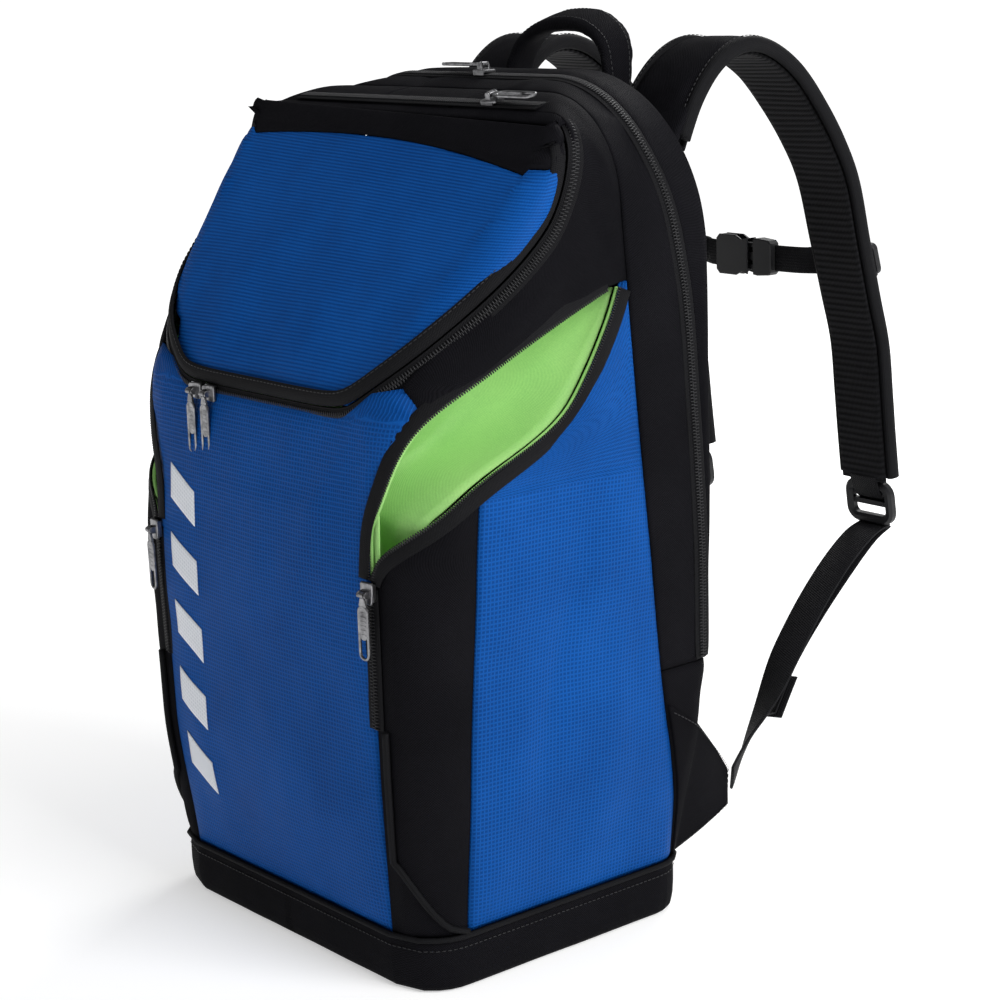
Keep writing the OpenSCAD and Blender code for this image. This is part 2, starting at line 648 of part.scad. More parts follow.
module slider_body(turn = 0) {
    color(METAL) {
        translate([0, 0, SLIDER_Z]) linear_extrude(1.6)
            polygon([[-SLIDER_L / 2, -3.4], [-SLIDER_L / 2, 3.4], [0, SLIDER_W / 2],
                     [SLIDER_L / 2, SLIDER_W / 2], [SLIDER_L / 2, -SLIDER_W / 2], [0, -SLIDER_W / 2]]);
        rotate([0, 0, turn]) {
            for (s = [-1, 1])
                translate([-1.6, s * 2.9 - 0.6, SLIDER_Z + 1.6 - eps]) cube([3.2, 1.2, BAR_Z - SLIDER_Z]);
            translate([0, 3, BAR_Z]) rotate([90, 0, 0]) cylinder(r = BAR_R, h = 6);
        }
    }
}

// The pull lies along local -X from its eye
module pull_tab() {
    color(METAL) difference() {
        union() {
            translate([0, 1.9, BAR_Z]) rotate([90, 0, 0]) cylinder(r = 1.9, h = 3.8);
            translate([-4.5, 0, BAR_Z - PULL_T / 2]) linear_extrude(PULL_T) square([9, 3.8], center = true);
            translate([-pull_len / 2 - 3.5, 0, BAR_Z - PULL_T / 2]) linear_extrude(PULL_T) difference() {
                stadium(pull_len - 5, 8.6);
                translate([-6, 0]) stadium(pull_len - 22, 3.6);
            }
        }
        translate([0, 3, BAR_Z]) rotate([90, 0, 0]) cylinder(r = EYE_R, h = 6);
    }
}

LID_SLIDE_Z = lid_low_z - 5;
LID_A_X = -66;
LID_B_X = -51;
POCKET_SLIDE_SHIFT = [0.3, -0.3, 8];
TOP_SLIDE_X = 74;
RACKET_SLIDE_X = 2;
RACKET_SLIDE_Y = 66;

module at_lid_zip(x) {
    p = [x, front_at(LID_SLIDE_Z), LID_SLIDE_Z];
    place(p, [1, 0, 0], [0, -1, 0]) children();
}

module at_pocket_zip() {
    p = corner_line(CLOSED_TOP - 2);
    q = corner_line(CLOSED_LOW + 10);
    place(p + POCKET_SLIDE_SHIFT, p - q, outward(p)) children();
}

module at_top_zip() {
    place([TOP_SLIDE_X, TOP_ZIP_Y, top_at_x(TOP_SLIDE_X)], [-1, 0, 0], TOP_ZIP_OUT) children();
}

module at_racket_zip() {
    place([RACKET_SLIDE_X, RACKET_SLIDE_Y, smooth(RACKET_SLIDE_Y, TOP)], [1, 0, 0], [0, 0, 1]) children();
}

module lid_slider(x) {
    at_lid_zip(x) slider_body(90);
}

// The lid's pulls hang down across the zip, on a swivelled eye
module lid_pull(x) {
    at_lid_zip(x) rotate([0, 0, 90]) pull_tab();
}

// ---- Printed stripes on the front -------------------------------------
module front_stripes() {
    color(WHITE) for (k = [0:4]) stripe(80 + k * 44);
}

module stripe(z0) {
    rows = 3;
    outer = [for (i = [0:rows]) [for (j = [0:3])
        let (x = mix(-92, -62, j / 3), z = z0 + 22 * i / rows + 14 * (1 - j / 3),
             p = mirrored(skin(z, mid_y(z) - x))) p + [0, -0.55, 0]]];
    inner = [for (r = outer) [for (p = r) p + [0, 0.3, 0]]];
    slab(outer, inner);
}

base_tray();
base_board();
front_panel();
front_stripes();
corner_panel();  // corner_panel_right
left() corner_panel();  // corner_panel_left
side_panel();  // side_panel_right
left() side_panel();  // side_panel_left
shoulder_panel();  // shoulder_panel_right
left() shoulder_panel();  // shoulder_panel_left
top_panel();
gusset_front();
lower_block();  // lower_block_right
left() lower_block();  // lower_block_left
lower_back();
divider();
pocket_lining();  // pocket_lining_right
left() pocket_lining();  // pocket_lining_left
both_sides() pocket_rim();  // pocket_rims
both_sides() pocket_zip();  // pocket_zips
both_sides() piping();
both_sides() lug();  // lugs
racket_zip();
lid_zip();
top_zip();
lid_panel();
lid_strip();
lid_binding();
gusset_rear();
back_board();
back_pad();  // back_pad_right
left() back_pad();  // back_pad_left
lumbar_pad();
anchor_patch();
shoulder_strap();  // strap_right
left() shoulder_strap();  // strap_left
strap_mesh();  // strap_mesh_right
left() strap_mesh();  // strap_mesh_left
both_sides() strap_rail();  // strap_rails
both_sides() ladder_lock();  // ladder_locks
both_sides() lower_webbing();
both_sides() webbing_tail();  // webbing_tails
handle();
sternum_sliders();
left() sternum_web(32);  // sternum_web_left
sternum_web(22);  // sternum_web_right
buckle_female();
buckle_male();
lid_slider(LID_A_X);  // lid_slider_left
lid_slider(LID_B_X);  // lid_slider_right
lid_pull(LID_A_X);  // lid_pull_left
lid_pull(LID_B_X);  // lid_pull_right
at_pocket_zip() slider_body();  // pocket_slider_right
left() at_pocket_zip() slider_body();  // pocket_slider_left
at_pocket_zip() pull_tab();  // pocket_pull_right
left() at_pocket_zip() pull_tab();  // pocket_pull_left
at_top_zip() slider_body();  // top_slider
at_top_zip() pull_tab();  // top_pull
at_racket_zip() slider_body();  // racket_slider
at_racket_zip() pull_tab();  // racket_pull
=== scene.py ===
import math

import bmesh
import bpy
import numpy as np
from mathutils import Matrix, Vector, noise


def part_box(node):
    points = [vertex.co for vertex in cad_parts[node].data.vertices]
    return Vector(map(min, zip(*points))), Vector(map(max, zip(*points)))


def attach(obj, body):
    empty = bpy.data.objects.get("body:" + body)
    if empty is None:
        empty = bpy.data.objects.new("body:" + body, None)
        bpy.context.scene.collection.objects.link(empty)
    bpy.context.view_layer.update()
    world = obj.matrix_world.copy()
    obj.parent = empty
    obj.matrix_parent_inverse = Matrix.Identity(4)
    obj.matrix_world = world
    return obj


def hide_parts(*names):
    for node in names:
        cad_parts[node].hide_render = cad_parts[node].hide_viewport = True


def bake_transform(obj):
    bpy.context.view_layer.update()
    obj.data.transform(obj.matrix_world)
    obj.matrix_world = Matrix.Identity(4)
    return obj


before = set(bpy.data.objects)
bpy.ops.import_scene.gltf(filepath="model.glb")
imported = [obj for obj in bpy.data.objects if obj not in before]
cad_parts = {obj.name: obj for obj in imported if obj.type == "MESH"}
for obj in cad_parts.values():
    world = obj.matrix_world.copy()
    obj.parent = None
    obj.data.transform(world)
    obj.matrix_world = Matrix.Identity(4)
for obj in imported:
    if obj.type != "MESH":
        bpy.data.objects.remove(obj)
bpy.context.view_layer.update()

MM = 0.001


# ---- Driving dimensions, in millimetres, some read from the CAD parts ----
def high(node):
    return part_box(node)[1] / MM


TRAY_PROUD = 1.2
TRAY_H = high("base_tray").z
HALF_BASE = high("base_tray").x - TRAY_PROUD
HALF_BODY = high("side_panel_right").x
FRONT_Y = 118
BACK_Y = high("lower_back").y
LID_LOW_Z = 345
LID_TOP_Z = high("lid_strip").z + 2
TOP_Z = 523
PANEL_T = 2.6
ZIP_W = 12
T_END = 530


# ---- Outer form: the same skin as the CAD shell --------------------------
def mix(a, b, u):
    return a + (b - a) * u


def clamp(v, lo, hi):
    return min(max(v, lo), hi)


def ease(u):
    return u * u * (3 - 2 * u)


def fade(u):
    """Eases from 0 to 1 while u goes from 0 to 1, and holds outside."""
    return ease(clamp(u, 0, 1))


def flipped(p, when=True):
    """The point's mirror image across the bag's middle plane."""
    return Vector((-p.x, p.y, p.z)) if when else p


def segment(x, table):
    """Which stretch of the table holds x, and how far along it x lies."""
    i = 0
    while i < len(table) - 2 and x >= table[i + 1][0]:
        i += 1
    return i, clamp((x - table[i][0]) / (table[i + 1][0] - table[i][0]), 0, 1)


def smooth(x, table):
    """The table's value at x, with its bends slightly eased."""
    i, u = segment(x, table)
    return mix(table[i][1], table[i + 1][1], mix(u, ease(u), 0.35))


def curve(x, table):
    """A rounded line through the table's points."""
    i, u = segment(x, table)
    (x0, a), (x1, b) = table[i], table[i + 1]
    before, after = table[max(i - 1, 0)], table[min(i + 2, len(table) - 1)]
    m0 = (b - before[1]) / (x1 - before[0]) * (x1 - x0)
    m1 = (after[1] - a) / (after[0] - x0) * (x1 - x0)
    return mix(a, b, ease(u)) + (1 - u) * u * ((1 - u) * m0 - u * m1)


def arc_drop(r, q):
    return r * (1 - math.sqrt(1 - clamp(q, 0, 1) ** 2))


SIDE = [(0, HALF_BASE - 2), (TRAY_H, HALF_BASE), (120, HALF_BODY - 6), (240, HALF_BODY), (520, HALF_BODY)]
FRONT = [(0, -FRONT_Y + 14), (TRAY_H, -FRONT_Y + 10), (120, -FRONT_Y + 2), (240, -FRONT_Y),
         (LID_LOW_Z, -FRONT_Y + 6), (372, -FRONT_Y + 20), (LID_TOP_Z, 0), (T_END, 0)]
BACK = [(0, BACK_Y - 14), (40, BACK_Y - 10), (120, BACK_Y - 3), (180, BACK_Y), (T_END, BACK_Y)]
FRONT_ROUND = [(0, 30), (200, 38), (300, 42), (LID_LOW_Z, 46), (372, 42), (430, 24), (480, 14),
               (T_END, 12)]
BACK_ROUND = [(0, 30), (60, 26), (140, 16), (170, 10), (T_END, 10)]
TOP = [(0, LID_TOP_Z), (30, TOP_Z - 10), (80, TOP_Z), (BACK_Y, TOP_Z - 1)]
TOP_ROUND = [(0, 10), (25, 42), (60, 80), (BACK_Y, 106)]

# The hoop coordinate t is the height on the side up to T_SIDE, then runs over
# the shoulder to T_FLAT at x = FLAT_X, and on across the top to T_MID.
T_SIDE, T_FLAT, FLAT_X = 400, 600, 40
T_MID = T_FLAT + FLAT_X


STEP = 2.0


def settled(values, times):
    """The array with each value drawn toward its neighbours so many times."""
    for _ in range(times):
        values[1:-1] = (values[:-2] + 2 * values[1:-1] + values[2:]) / 4
    return values


def softened(table):
    """The table's line with its bends rounded off, as stuffed cloth rounds them."""
    heights = np.arange(table[0][0], table[-1][0] + STEP, STEP)
    values = settled(np.array([smooth(h, table) for h in heights]), 70)
    return lambda t: float(np.interp(t, heights, values))


front_line, front_round = softened(FRONT), softened(FRONT_ROUND)


def front_at(t):
    return front_line(min(t, T_END))


def edge_x(t):
    return smooth(t, SIDE) - front_round(t)


def mid_y(t):
    return front_at(t) - edge_x(t)


def back_at(t):
    return smooth(min(t, T_END), BACK)


def hoop(t, y):
    back_r = smooth(t, BACK_ROUND)
    back_in = arc_drop(back_r, (y - back_at(t) + back_r) / back_r) if y > 0 else 0
    r = smooth(y, TOP_ROUND) - back_in * 0.5
    w = HALF_BODY - back_in
    top = smooth(y, TOP) - back_in
    if t > T_FLAT:
        return (T_MID - t, y, top)
    corner = top - r
    full = corner + r * math.pi / 2 + (w - r) - FLAT_X
    h = t if t <= T_SIDE else mix(T_SIDE, full, (t - T_SIDE) / (T_FLAT - T_SIDE))
    if h > corner:
        a = clamp((h - corner) / r, 0, math.pi / 2)
        over = max(0, h - corner - r * math.pi / 2)
        return (w - r + r * math.cos(a) - over, y, corner + r * math.sin(a))
    front_r = front_round(h)
    front_in = arc_drop(front_r, (front_at(h) + front_r - y) / front_r)
    return (smooth(h, SIDE) - back_in - front_in, y, h)


def bulge(x, t):
    across = 1 - clamp(x / edge_x(t), -1, 1) ** 2
    return 6 * across * clamp((t - 40) / 60, 0, 1) * clamp((LID_LOW_Z - t) / 60, 0, 1)


def skin(t, y):
    """A point of the right half of the bag; in front of the corner y runs on across the front."""
    if y >= front_at(t) or t > LID_TOP_Z:
        return Vector(hoop(t, y))
    x = edge_x(t) + y - front_at(t)
    return Vector((x, front_at(t) - bulge(x, t), t))


CORE_LO, CORE_HI = Vector((-100, -20, 70)), Vector((100, 60, 400))


def outward(p):
    core = Vector([clamp(p[i], CORE_LO[i], CORE_HI[i]) for i in range(3)])
    return (p - core).normalized()


def skin_normal(t, y):
    return (skin(t, y + 1) - skin(t, y - 1)).cross(skin(t + 1, y) - skin(t - 1, y)).normalized()


def girth(t, y):
    """How far round the bag a point lies from the front corner."""
    r, d = front_round(t), y - front_at(t)
    if d <= 0:
        return d
    return r * math.acos(1 - d / r) if d < r else d + r * (math.pi / 2 - 1)


def at_girth(t, g):
    """The y of the point that far round the bag."""
    r = front_round(t)
    if g <= 0:
        return front_at(t) + g
    return front_at(t) + (r * (1 - math.cos(g / r)) if g < r * math.pi / 2 else g - r * (math.pi / 2 - 1))


class Seam:
    """A line through a table of (t, y), rounded as it lies on the bag."""

    def __init__(self, table, rounding, last, closing=0):
        self.table = table
        count = int((last - table[0][0]) / STEP)
        self.heights = np.linspace(table[0][0], last, count + 1)
        self.round = np.array([girth(t, curve(t, table)) for t in self.heights])
        if closing:
            # both edges of the opening come together at the corner's closed zip
            self.round *= [fade((t - table[0][0]) / closing) for t in self.heights]
        settled(self.round, rounding)

    def __call__(self, t):
        if t > self.heights[-1]:
            return curve(t, self.table)
        return at_girth(t, float(np.interp(t, self.heights, self.round)))


LID_EDGE = [(LID_LOW_Z, -134), (352, -118), (362, -105), (372, -95), (390, -79), (411, -53), (427, -34),
            (443, -16), (459, -3), (480, 4), (T_MID, 5)]
POCKET_FRONT = [(253, -115), (277, -116), (300, -113), (326, -107), (346, -95), (363, -71), (378, -36),
                (394, -2), (408, 38)]
POCKET_REAR = [(253, -114), (267, -107), (286, -94), (304, -75), (318, -38), (333, -7), (357, 13),
               (376, 25), (390, 33), (408, 40)]
CORNER_SEAM = [(0, -75), (120, -78), (240, -74), (304, -69)]
REAR_SEAM = [(0, 96), (76, 88), (146, 75), (212, 65), (275, 58), (337, 52), (408, 46), (460, 42),
             (520, 40), (T_MID, 42)]
RACKET_ZIP = [(165, 106), (204, 104), (268, 101), (330, 97), (391, 92), (428, 85), (457, 78), (490, 71),
              (560, 66), (T_MID, 66)]
POCKET_LOW, POCKET_TOP = POCKET_FRONT[0][0], POCKET_FRONT[-1][0]
CORNER_TIP, RACKET_END, SHOULDER_TIP, TRIANGLE_TOP = 300, RACKET_ZIP[0][0], 343, 362


# ---- Node materials -------------------------------------------------------
class Nodes:
    """Short forms for building one material's node tree."""

    def __init__(self, name):
        self.material = bpy.data.materials.new(name)
        self.material.use_nodes = True
        self.tree = self.material.node_tree
        self.shader = self.tree.nodes["Principled BSDF"]

    def add(self, kind, **settings):
        node = self.tree.nodes.new(kind)
        for key, value in settings.items():
            setattr(node, key, value)
        return node

    def link(self, a, b):
        self.tree.links.new(a, b)

    def math(self, operation, a, b=None, c=None):
        node = self.add("ShaderNodeMath", operation=operation)
        for socket, value in zip(node.inputs, (a, b, c)):
            if value is None:
                continue
            if isinstance(value, (int, float)):
                socket.default_value = value
            else:
                self.link(value, socket)
        return node.outputs[0]

    def uv_mm(self):
        """The piece's own flat coordinates, in millimetres."""
        scale = self.add("ShaderNodeVectorMath", operation="SCALE")
        scale.inputs["Scale"].default_value = 1000
        self.link(self.add("ShaderNodeUVMap", uv_map="fabric").outputs[0], scale.inputs[0])
        parts = self.add("ShaderNodeSeparateXYZ")
        self.link(scale.outputs[0], parts.inputs[0])
        return parts.outputs[0], parts.outputs[1]

    def place(self):
        return self.add("ShaderNodeTexCoord").outputs["Object"]

    def noise(self, scale, detail=3, rough=0.5):
        node = self.add("ShaderNodeTexNoise")
        node.inputs["Scale"].default_value = scale
        node.inputs["Detail"].default_value = detail
        node.inputs["Roughness"].default_value = rough
        self.link(self.place(), node.inputs["Vector"])
        return node.outputs[0]

    def wave(self, x, pitch):
        """0 to 1, one cycle every pitch millimetres."""
        angle = self.math("MULTIPLY", x, 2 * math.pi / pitch)
        return self.math("MULTIPLY_ADD", self.math("SINE", angle), 0.5, 0.5)

    def ramp(self, value, dark, light, lo=0.0, hi=1.0):
        node = self.add("ShaderNodeValToRGB")
        node.color_ramp.elements[0].position = lo
        node.color_ramp.elements[1].position = hi
        node.color_ramp.elements[0].color = (*dark, 1)
        node.color_ramp.elements[1].color = (*light, 1)
        self.link(value, node.inputs[0])
        self.link(node.outputs[0], self.shader.inputs["Base Color"])

    def spread(self, value, target, lo, hi, start=0.0, end=1.0):
        """Sets the shader's input to run from lo to hi as the value runs from start to end."""
        node = self.add("ShaderNodeMapRange")
        for socket, number in zip(("From Min", "From Max", "To Min", "To Max"), (start, end, lo, hi)):
            node.inputs[socket].default_value = number
        self.link(value, node.inputs["Value"])
        self.link(node.outputs[0], self.shader.inputs[target])

    def rough(self, value, lo, hi):
        self.spread(value, "Roughness", lo, hi)

    def gloss(self, level):
        self.shader.inputs["Specular IOR Level"].default_value = level

    def bump(self, height, distance_mm, strength=1.0):
        node = self.add("ShaderNodeBump")
        node.inputs["Strength"].default_value = strength
        node.inputs["Distance"].default_value = distance_mm * MM
        self.link(height, node.inputs["Height"])
        self.link(node.outputs[0], self.shader.inputs["Normal"])


def woven(name, dark, light, pitch, kind, rough=(0.55, 0.75), gloss=0.1, bump=0.25):
    """Cloth with threads of the given pitch in millimetres along the piece's own coordinates."""
    m = Nodes(name)
    u, v = m.uv_mm()
    if kind == "ripstop":
        # square cells with a raised doubled thread round each
        across = m.math("POWER", m.wave(u, pitch[0]), 3)
        along = m.math("POWER", m.wave(v, pitch[1]), 2)
        cells = m.math("MAXIMUM", across, along)
        fine = m.math("MULTIPLY", m.wave(u, pitch[0] / 4), m.wave(v, pitch[1] / 4))
        weave = m.math("MULTIPLY_ADD", fine, 0.25, m.math("MULTIPLY", cells, 0.75))
    elif kind == "plain":
        over = m.math("MULTIPLY", m.wave(u, pitch[0]), m.wave(v, pitch[1]))
        under = m.math("MULTIPLY", m.math("SUBTRACT", 1.0, m.wave(u, pitch[0])),
                       m.math("SUBTRACT", 1.0, m.wave(v, pitch[1])))
        weave = m.math("MAXIMUM", over, under)
    elif kind == "ribbed":
        slant = m.math("MULTIPLY_ADD", u, 0.5, v)
        weave = m.math("MULTIPLY_ADD", m.wave(slant, pitch[1]), 0.6,
                       m.math("MULTIPLY", m.wave(u, pitch[0]), 0.4))
    elif kind == "cross_rib":
        weave = m.math("MULTIPLY_ADD", m.wave(v, pitch[1]), 0.8,
                       m.math("MULTIPLY", m.wave(u, pitch[0]), 0.2))
    else:
        # spacer mesh: rows of small holes, staggered
        odd = m.math("GREATER_THAN", m.wave(v, pitch[1] * 2), 0.5)
        shift = m.math("MULTIPLY", odd, pitch[0] / 2)
        hole = m.math("MULTIPLY", m.wave(m.math("ADD", u, shift), pitch[0]), m.wave(v, pitch[1]))
        weave = m.math("SUBTRACT", 1.0, m.math("POWER", hole, 2))
    patch = m.noise(14, 4, 0.6)
    fibre = m.noise(900, 2)
    worn = m.math("MULTIPLY_ADD", patch, 0.5, m.math("MULTIPLY", fibre, 0.25))
    m.ramp(m.math("MULTIPLY_ADD", weave, 0.55, worn), dark, light, 0.25, 1.05)
    m.rough(m.math("MULTIPLY_ADD", fibre, 0.5, m.math("MULTIPLY", weave, 0.5)), *rough)
    m.bump(m.math("MULTIPLY_ADD", fibre, 0.3, weave), bump)
    m.gloss(gloss)
    return m.material


def moulded(name, dark, light):
    m = Nodes(name)
    grain = m.noise(1400, 3)
    m.ramp(m.noise(30, 3), dark, light)
    m.rough(grain, 0.38, 0.55)
    m.bump(grain, 0.05, 0.5)
    m.gloss(0.3)
    return m.material


def plated(name):
    m = Nodes(name)
    worn = m.noise(220, 4, 0.65)
    m.ramp(worn, (0.09, 0.09, 0.095), (0.34, 0.34, 0.35), 0.25, 0.75)
    m.rough(worn, 0.42, 0.22)
    m.bump(m.noise(1600, 2), 0.03, 0.6)
    m.shader.inputs["Metallic"].default_value = 1.0
    return m.material


BLUE = woven("blue_ripstop", (0.0006, 0.030, 0.145), (0.005, 0.088, 0.365), (2.6, 2.6), "ripstop",
             (0.45, 0.62), 0.05, 0.30)
BLUE_LID = woven("blue_ribbed", (0.0006, 0.030, 0.145), (0.005, 0.086, 0.355), (1.4, 2.3), "cross_rib",
                 (0.45, 0.62), 0.05, 0.20)
BLACK = woven("black_polyester", (0.0012, 0.0012, 0.0018), (0.0095, 0.0092, 0.0115), (1.5, 1.5), "plain",
              (0.62, 0.82), 0.03, 0.26)
LIME = woven("lime_lining", (0.18, 0.44, 0.12), (0.44, 0.74, 0.25), (1.1, 1.1), "plain",
             (0.45, 0.6), 0.15, 0.10)
LINER = woven("grey_lining", (0.006, 0.006, 0.007), (0.02, 0.02, 0.022), (1.1, 1.1), "plain",
              (0.6, 0.75), 0.08, 0.10)
TAPE = woven("zip_tape", (0.0012, 0.0012, 0.0016), (0.0085, 0.0085, 0.010), (1.3, 1.0), "ribbed",
             (0.6, 0.8), 0.1, 0.20)
WEBBING = woven("webbing", (0.0012, 0.0012, 0.0016), (0.010, 0.010, 0.012), (2.0, 1.6), "ribbed",
                (0.55, 0.75), 0.14, 0.45)
MESH = woven("spacer_mesh", (0.001, 0.001, 0.0014), (0.014, 0.014, 0.016), (3.2, 2.6), "mesh",
             (0.65, 0.85), 0.1, 0.8)
RIB_MESH = woven("rib_mesh", (0.0006, 0.0006, 0.0009), (0.014, 0.014, 0.016), (1.6, 4.4), "cross_rib",
                 (0.65, 0.85), 0.1, 1.1)
PRINT = woven("white_print", (0.55, 0.58, 0.64), (0.84, 0.86, 0.90), (2.6, 2.6), "ripstop",
              (0.45, 0.6), 0.2, 0.18)
THREAD = moulded("thread", (0.008, 0.008, 0.009), (0.022, 0.022, 0.025))
COIL = moulded("zip_coil", (0.003, 0.003, 0.004), (0.014, 0.014, 0.016))
PLASTIC = moulded("black_plastic", (0.004, 0.004, 0.005), (0.012, 0.012, 0.014))
METAL = plated("gunmetal")


# ---- Building pieces ------------------------------------------------------
def finish_piece(obj, body, slot, nodes=()):
    if body:
        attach(obj, body)
    for node in nodes:
        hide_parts(node)
    return obj


# The sag, the height it starts at and the rise to its full size, and the y from
# which it fades out, with the depth of the fading
SAG, SAG_FROM, SAG_RISE = 8, 390, 90
SAG_FADE_FROM, SAG_FADE = -15, 25


def sagged(p):
    """The front of the stuffed top leans toward the right-hand side."""
    lean = SAG * clamp(p.x / HALF_BODY, -1, 1) * fade((p.z - SAG_FROM) / SAG_RISE)
    return Vector((p.x, p.y, p.z - lean * (1 - fade((p.y - SAG_FADE_FROM) / SAG_FADE))))


def add_object(name, data):
    obj = bpy.data.objects.new(name, data)
    bpy.context.scene.collection.objects.link(obj)
    return obj


def shade(mesh, soft):
    mesh.polygons.foreach_set("use_smooth", [soft] * len(mesh.polygons))


def mesh_object(name, verts, faces, materials, uvs):
    """A sagged mesh from points and fabric coordinates in millimetres."""
    mesh = bpy.data.meshes.new(name)
    mesh.from_pydata([sagged(v) * MM for v in verts], [], faces)
    mesh.update()
    layer = mesh.uv_layers.new(name="fabric")
    for loop in mesh.loops:
        layer.data[loop.index].uv = [value * MM for value in uvs[loop.vertex_index]]
    for m in materials:
        mesh.materials.append(m)
    shade(mesh, True)
    return add_object(name, mesh)


def rings(count, n, base=0):
    """Faces between count + 1 rings of n points each."""
    starts = [(base + r * n + i, base + r * n + (i + 1) % n) for r in range(count) for i in range(n)]
    return [(a, b, b + n, a + n) for a, b in starts]


def apply_modifiers(obj):
    deps = bpy.context.evaluated_depsgraph_get()
    mesh = bpy.data.meshes.new_from_object(obj.evaluated_get(deps))
    obj.modifiers.clear()
    obj.data = mesh


def solidify(obj, thickness, liner=False):
    mod = obj.modifiers.new("thickness", "SOLIDIFY")
    mod.thickness = thickness * MM
    mod.offset = -1
    mod.material_offset = int(liner)


def ripple(p, seed, size=55.0):
    """Soft unevenness of stuffed cloth, -1 to 1."""
    q = Vector((p.x / size + seed, p.y / size, p.z / size))
    return noise.noise(q) + 0.4 * noise.noise(q * 2.3)


def running(lines):
    """Distances along each line of points, from its first."""
    return np.cumsum([[0] + [(b - a).length for a, b in zip(line, line[1:])] for line in lines], axis=1)


def sheet(name, rows, cols, at, body, slot, nodes, materials, puff=1.6, uneven=0.9, seam=7.0,
          folds=None, thickness=PANEL_T, mirror=False, level_uv=False):
    """A sewn panel.  at(u, v) gives a skin point; it swells between its seams and ripples.
    level_uv keeps the weave level across the whole panel."""
    grid = [[at(i / rows, j / cols) for j in range(cols + 1)] for i in range(rows + 1)]
    lengths_u, lengths_v = running(grid), running(zip(*grid)).T
    centre = lengths_u[:, -1:] / 2
    level_z = np.maximum.accumulate([row[cols // 2].z for row in grid])
    verts, uvs = [], []
    for i in range(rows + 1):
        for j in range(cols + 1):
            p = grid[i][j]
            du = grid[i][min(j + 1, cols)] - grid[i][max(j - 1, 0)]
            dv = grid[min(i + 1, rows)][j] - grid[max(i - 1, 0)][j]
            n = du.cross(dv)
            n = outward(p) if n.length < 1e-6 else n.normalized()
            if n.dot(outward(p)) < 0:
                n = -n
            edge = min(lengths_u[i, j], lengths_u[i, -1] - lengths_u[i, j],
                       lengths_v[i, j], lengths_v[-1, j] - lengths_v[i, j])
            rise = 1 - math.exp(-max(edge, 0) / seam)
            height = puff * rise + uneven * ripple(p, 0.0 if not mirror else 7.7) * rise
            if folds:
                height += folds(p) * rise
            verts.append(flipped(p + n * height, mirror))
            if level_uv:
                level = float(np.interp(p.z, level_z, lengths_v[:, cols // 2]))
                uvs.append((lengths_u[i, j] - centre[i, 0], level))
            else:
                uvs.append((lengths_u[i, j], lengths_v[i, j]))
    faces = []
    for i in range(rows):
        for j in range(cols):
            a = i * (cols + 1) + j
            faces.append((a, a + 1, a + cols + 2, a + cols + 1))
    obj = mesh_object(name, verts, faces, materials, uvs)
    face = obj.data.polygons[len(faces) // 2]
    if face.normal.dot(outward(face.center / MM)) < 0:
        obj.data.flip_normals()
    solidify(obj, thickness, len(materials) > 1)
    apply_modifiers(obj)
    return finish_piece(obj, body, slot, nodes)


def sweep(name, points, normals, profile, material, widths=None, closed=False, lift=0.0):
    """A closed profile of (sideways, outward) pairs swept along points."""
    n, m = len(points), len(profile)
    verts, uvs = [], []
    along = 0.0
    round_it = [0.0]
    for a, b in zip(profile, profile[1:]):
        round_it.append(round_it[-1] + math.dist(a, b))
    for i in range(n):
        before = points[(i - 1) % n] if closed else points[max(i - 1, 0)]
        after = points[(i + 1) % n] if closed else points[min(i + 1, n - 1)]
        tangent = (after - before).normalized()
        across = tangent.cross(normals[i]).normalized()
        out = across.cross(tangent)
        if i:
            along += (points[i] - points[i - 1]).length
        k = widths[i] if widths else 1.0
        for j, (sx, sy) in enumerate(profile):
            verts.append(points[i] + across * sx * k + out * (sy + lift))
            uvs.append((round_it[j], along))
    faces = []
    for i in range(n if closed else n - 1):
        for j in range(m):
            a, b = i * m + j, i * m + (j + 1) % m
            c, d = ((i + 1) % n) * m + (j + 1) % m, ((i + 1) % n) * m + j
            faces.append((a, d, c, b))
    if not closed:
        faces.append(tuple(range(m)))
        faces.append(tuple(reversed(range((n - 1) * m, n * m))))
    return mesh_object(name, verts, faces, [material], uvs)


def flat_profile(w, h, crown=0.25):
    """A flat strip with softened edges."""
    r = h * 0.5
    return [(-w / 2, r * 0.6), (-w / 2, h - r * 0.6), (-w / 2 + r, h), (0, h + crown), (w / 2 - r, h),
            (w / 2, h - r * 0.6), (w / 2, r * 0.6), (w / 2 - r, 0), (-w / 2 + r, 0)]


def circle(r, sides=20):
    angles = [2 * math.pi * k / sides for k in range(sides)]
    return [(r * math.cos(a), r * math.sin(a)) for a in angles]


def round_profile(r, sides=10):
    return [(x, r + y) for x, y in circle(r, sides)]


def dense(points, step):
    """The same path with a point about every step millimetres."""
    out = [points[0].copy()]
    for a, b in zip(points, points[1:]):
        count = max(1, int(round((b - a).length / step)))
        out += [a.lerp(b, k / count) for k in range(1, count + 1)]
    return out


def relax(points, times):
    for _ in range(times):
        inner = [(a + b * 2 + c) / 4 for a, b, c in zip(points, points[1:], points[2:])]
        points = [points[0]] + inner + [points[-1]]
    return points


def catmull(points, n):
    """A rounded path through the points, with n steps between each two."""
    out = []
    for i in range(len(points) - 1):
        a, b = points[max(i - 1, 0)], points[i]
        c, d = points[i + 1], points[min(i + 2, len(points) - 1)]
        for k in range(n):
            u = k / n
            out.append(0.5 * (2 * b + (c - a) * u + (2 * a - 5 * b + 4 * c - d) * u * u
                              + (3 * b - a - 3 * c + d) * u ** 3))
    return out + [points[-1].copy()]


def tangents(points):
    last = len(points) - 1
    return [(points[min(i + 1, last)] - points[max(i - 1, 0)]).normalized() for i in range(last + 1)]


def outwards(points):
    return [outward(p) for p in points]


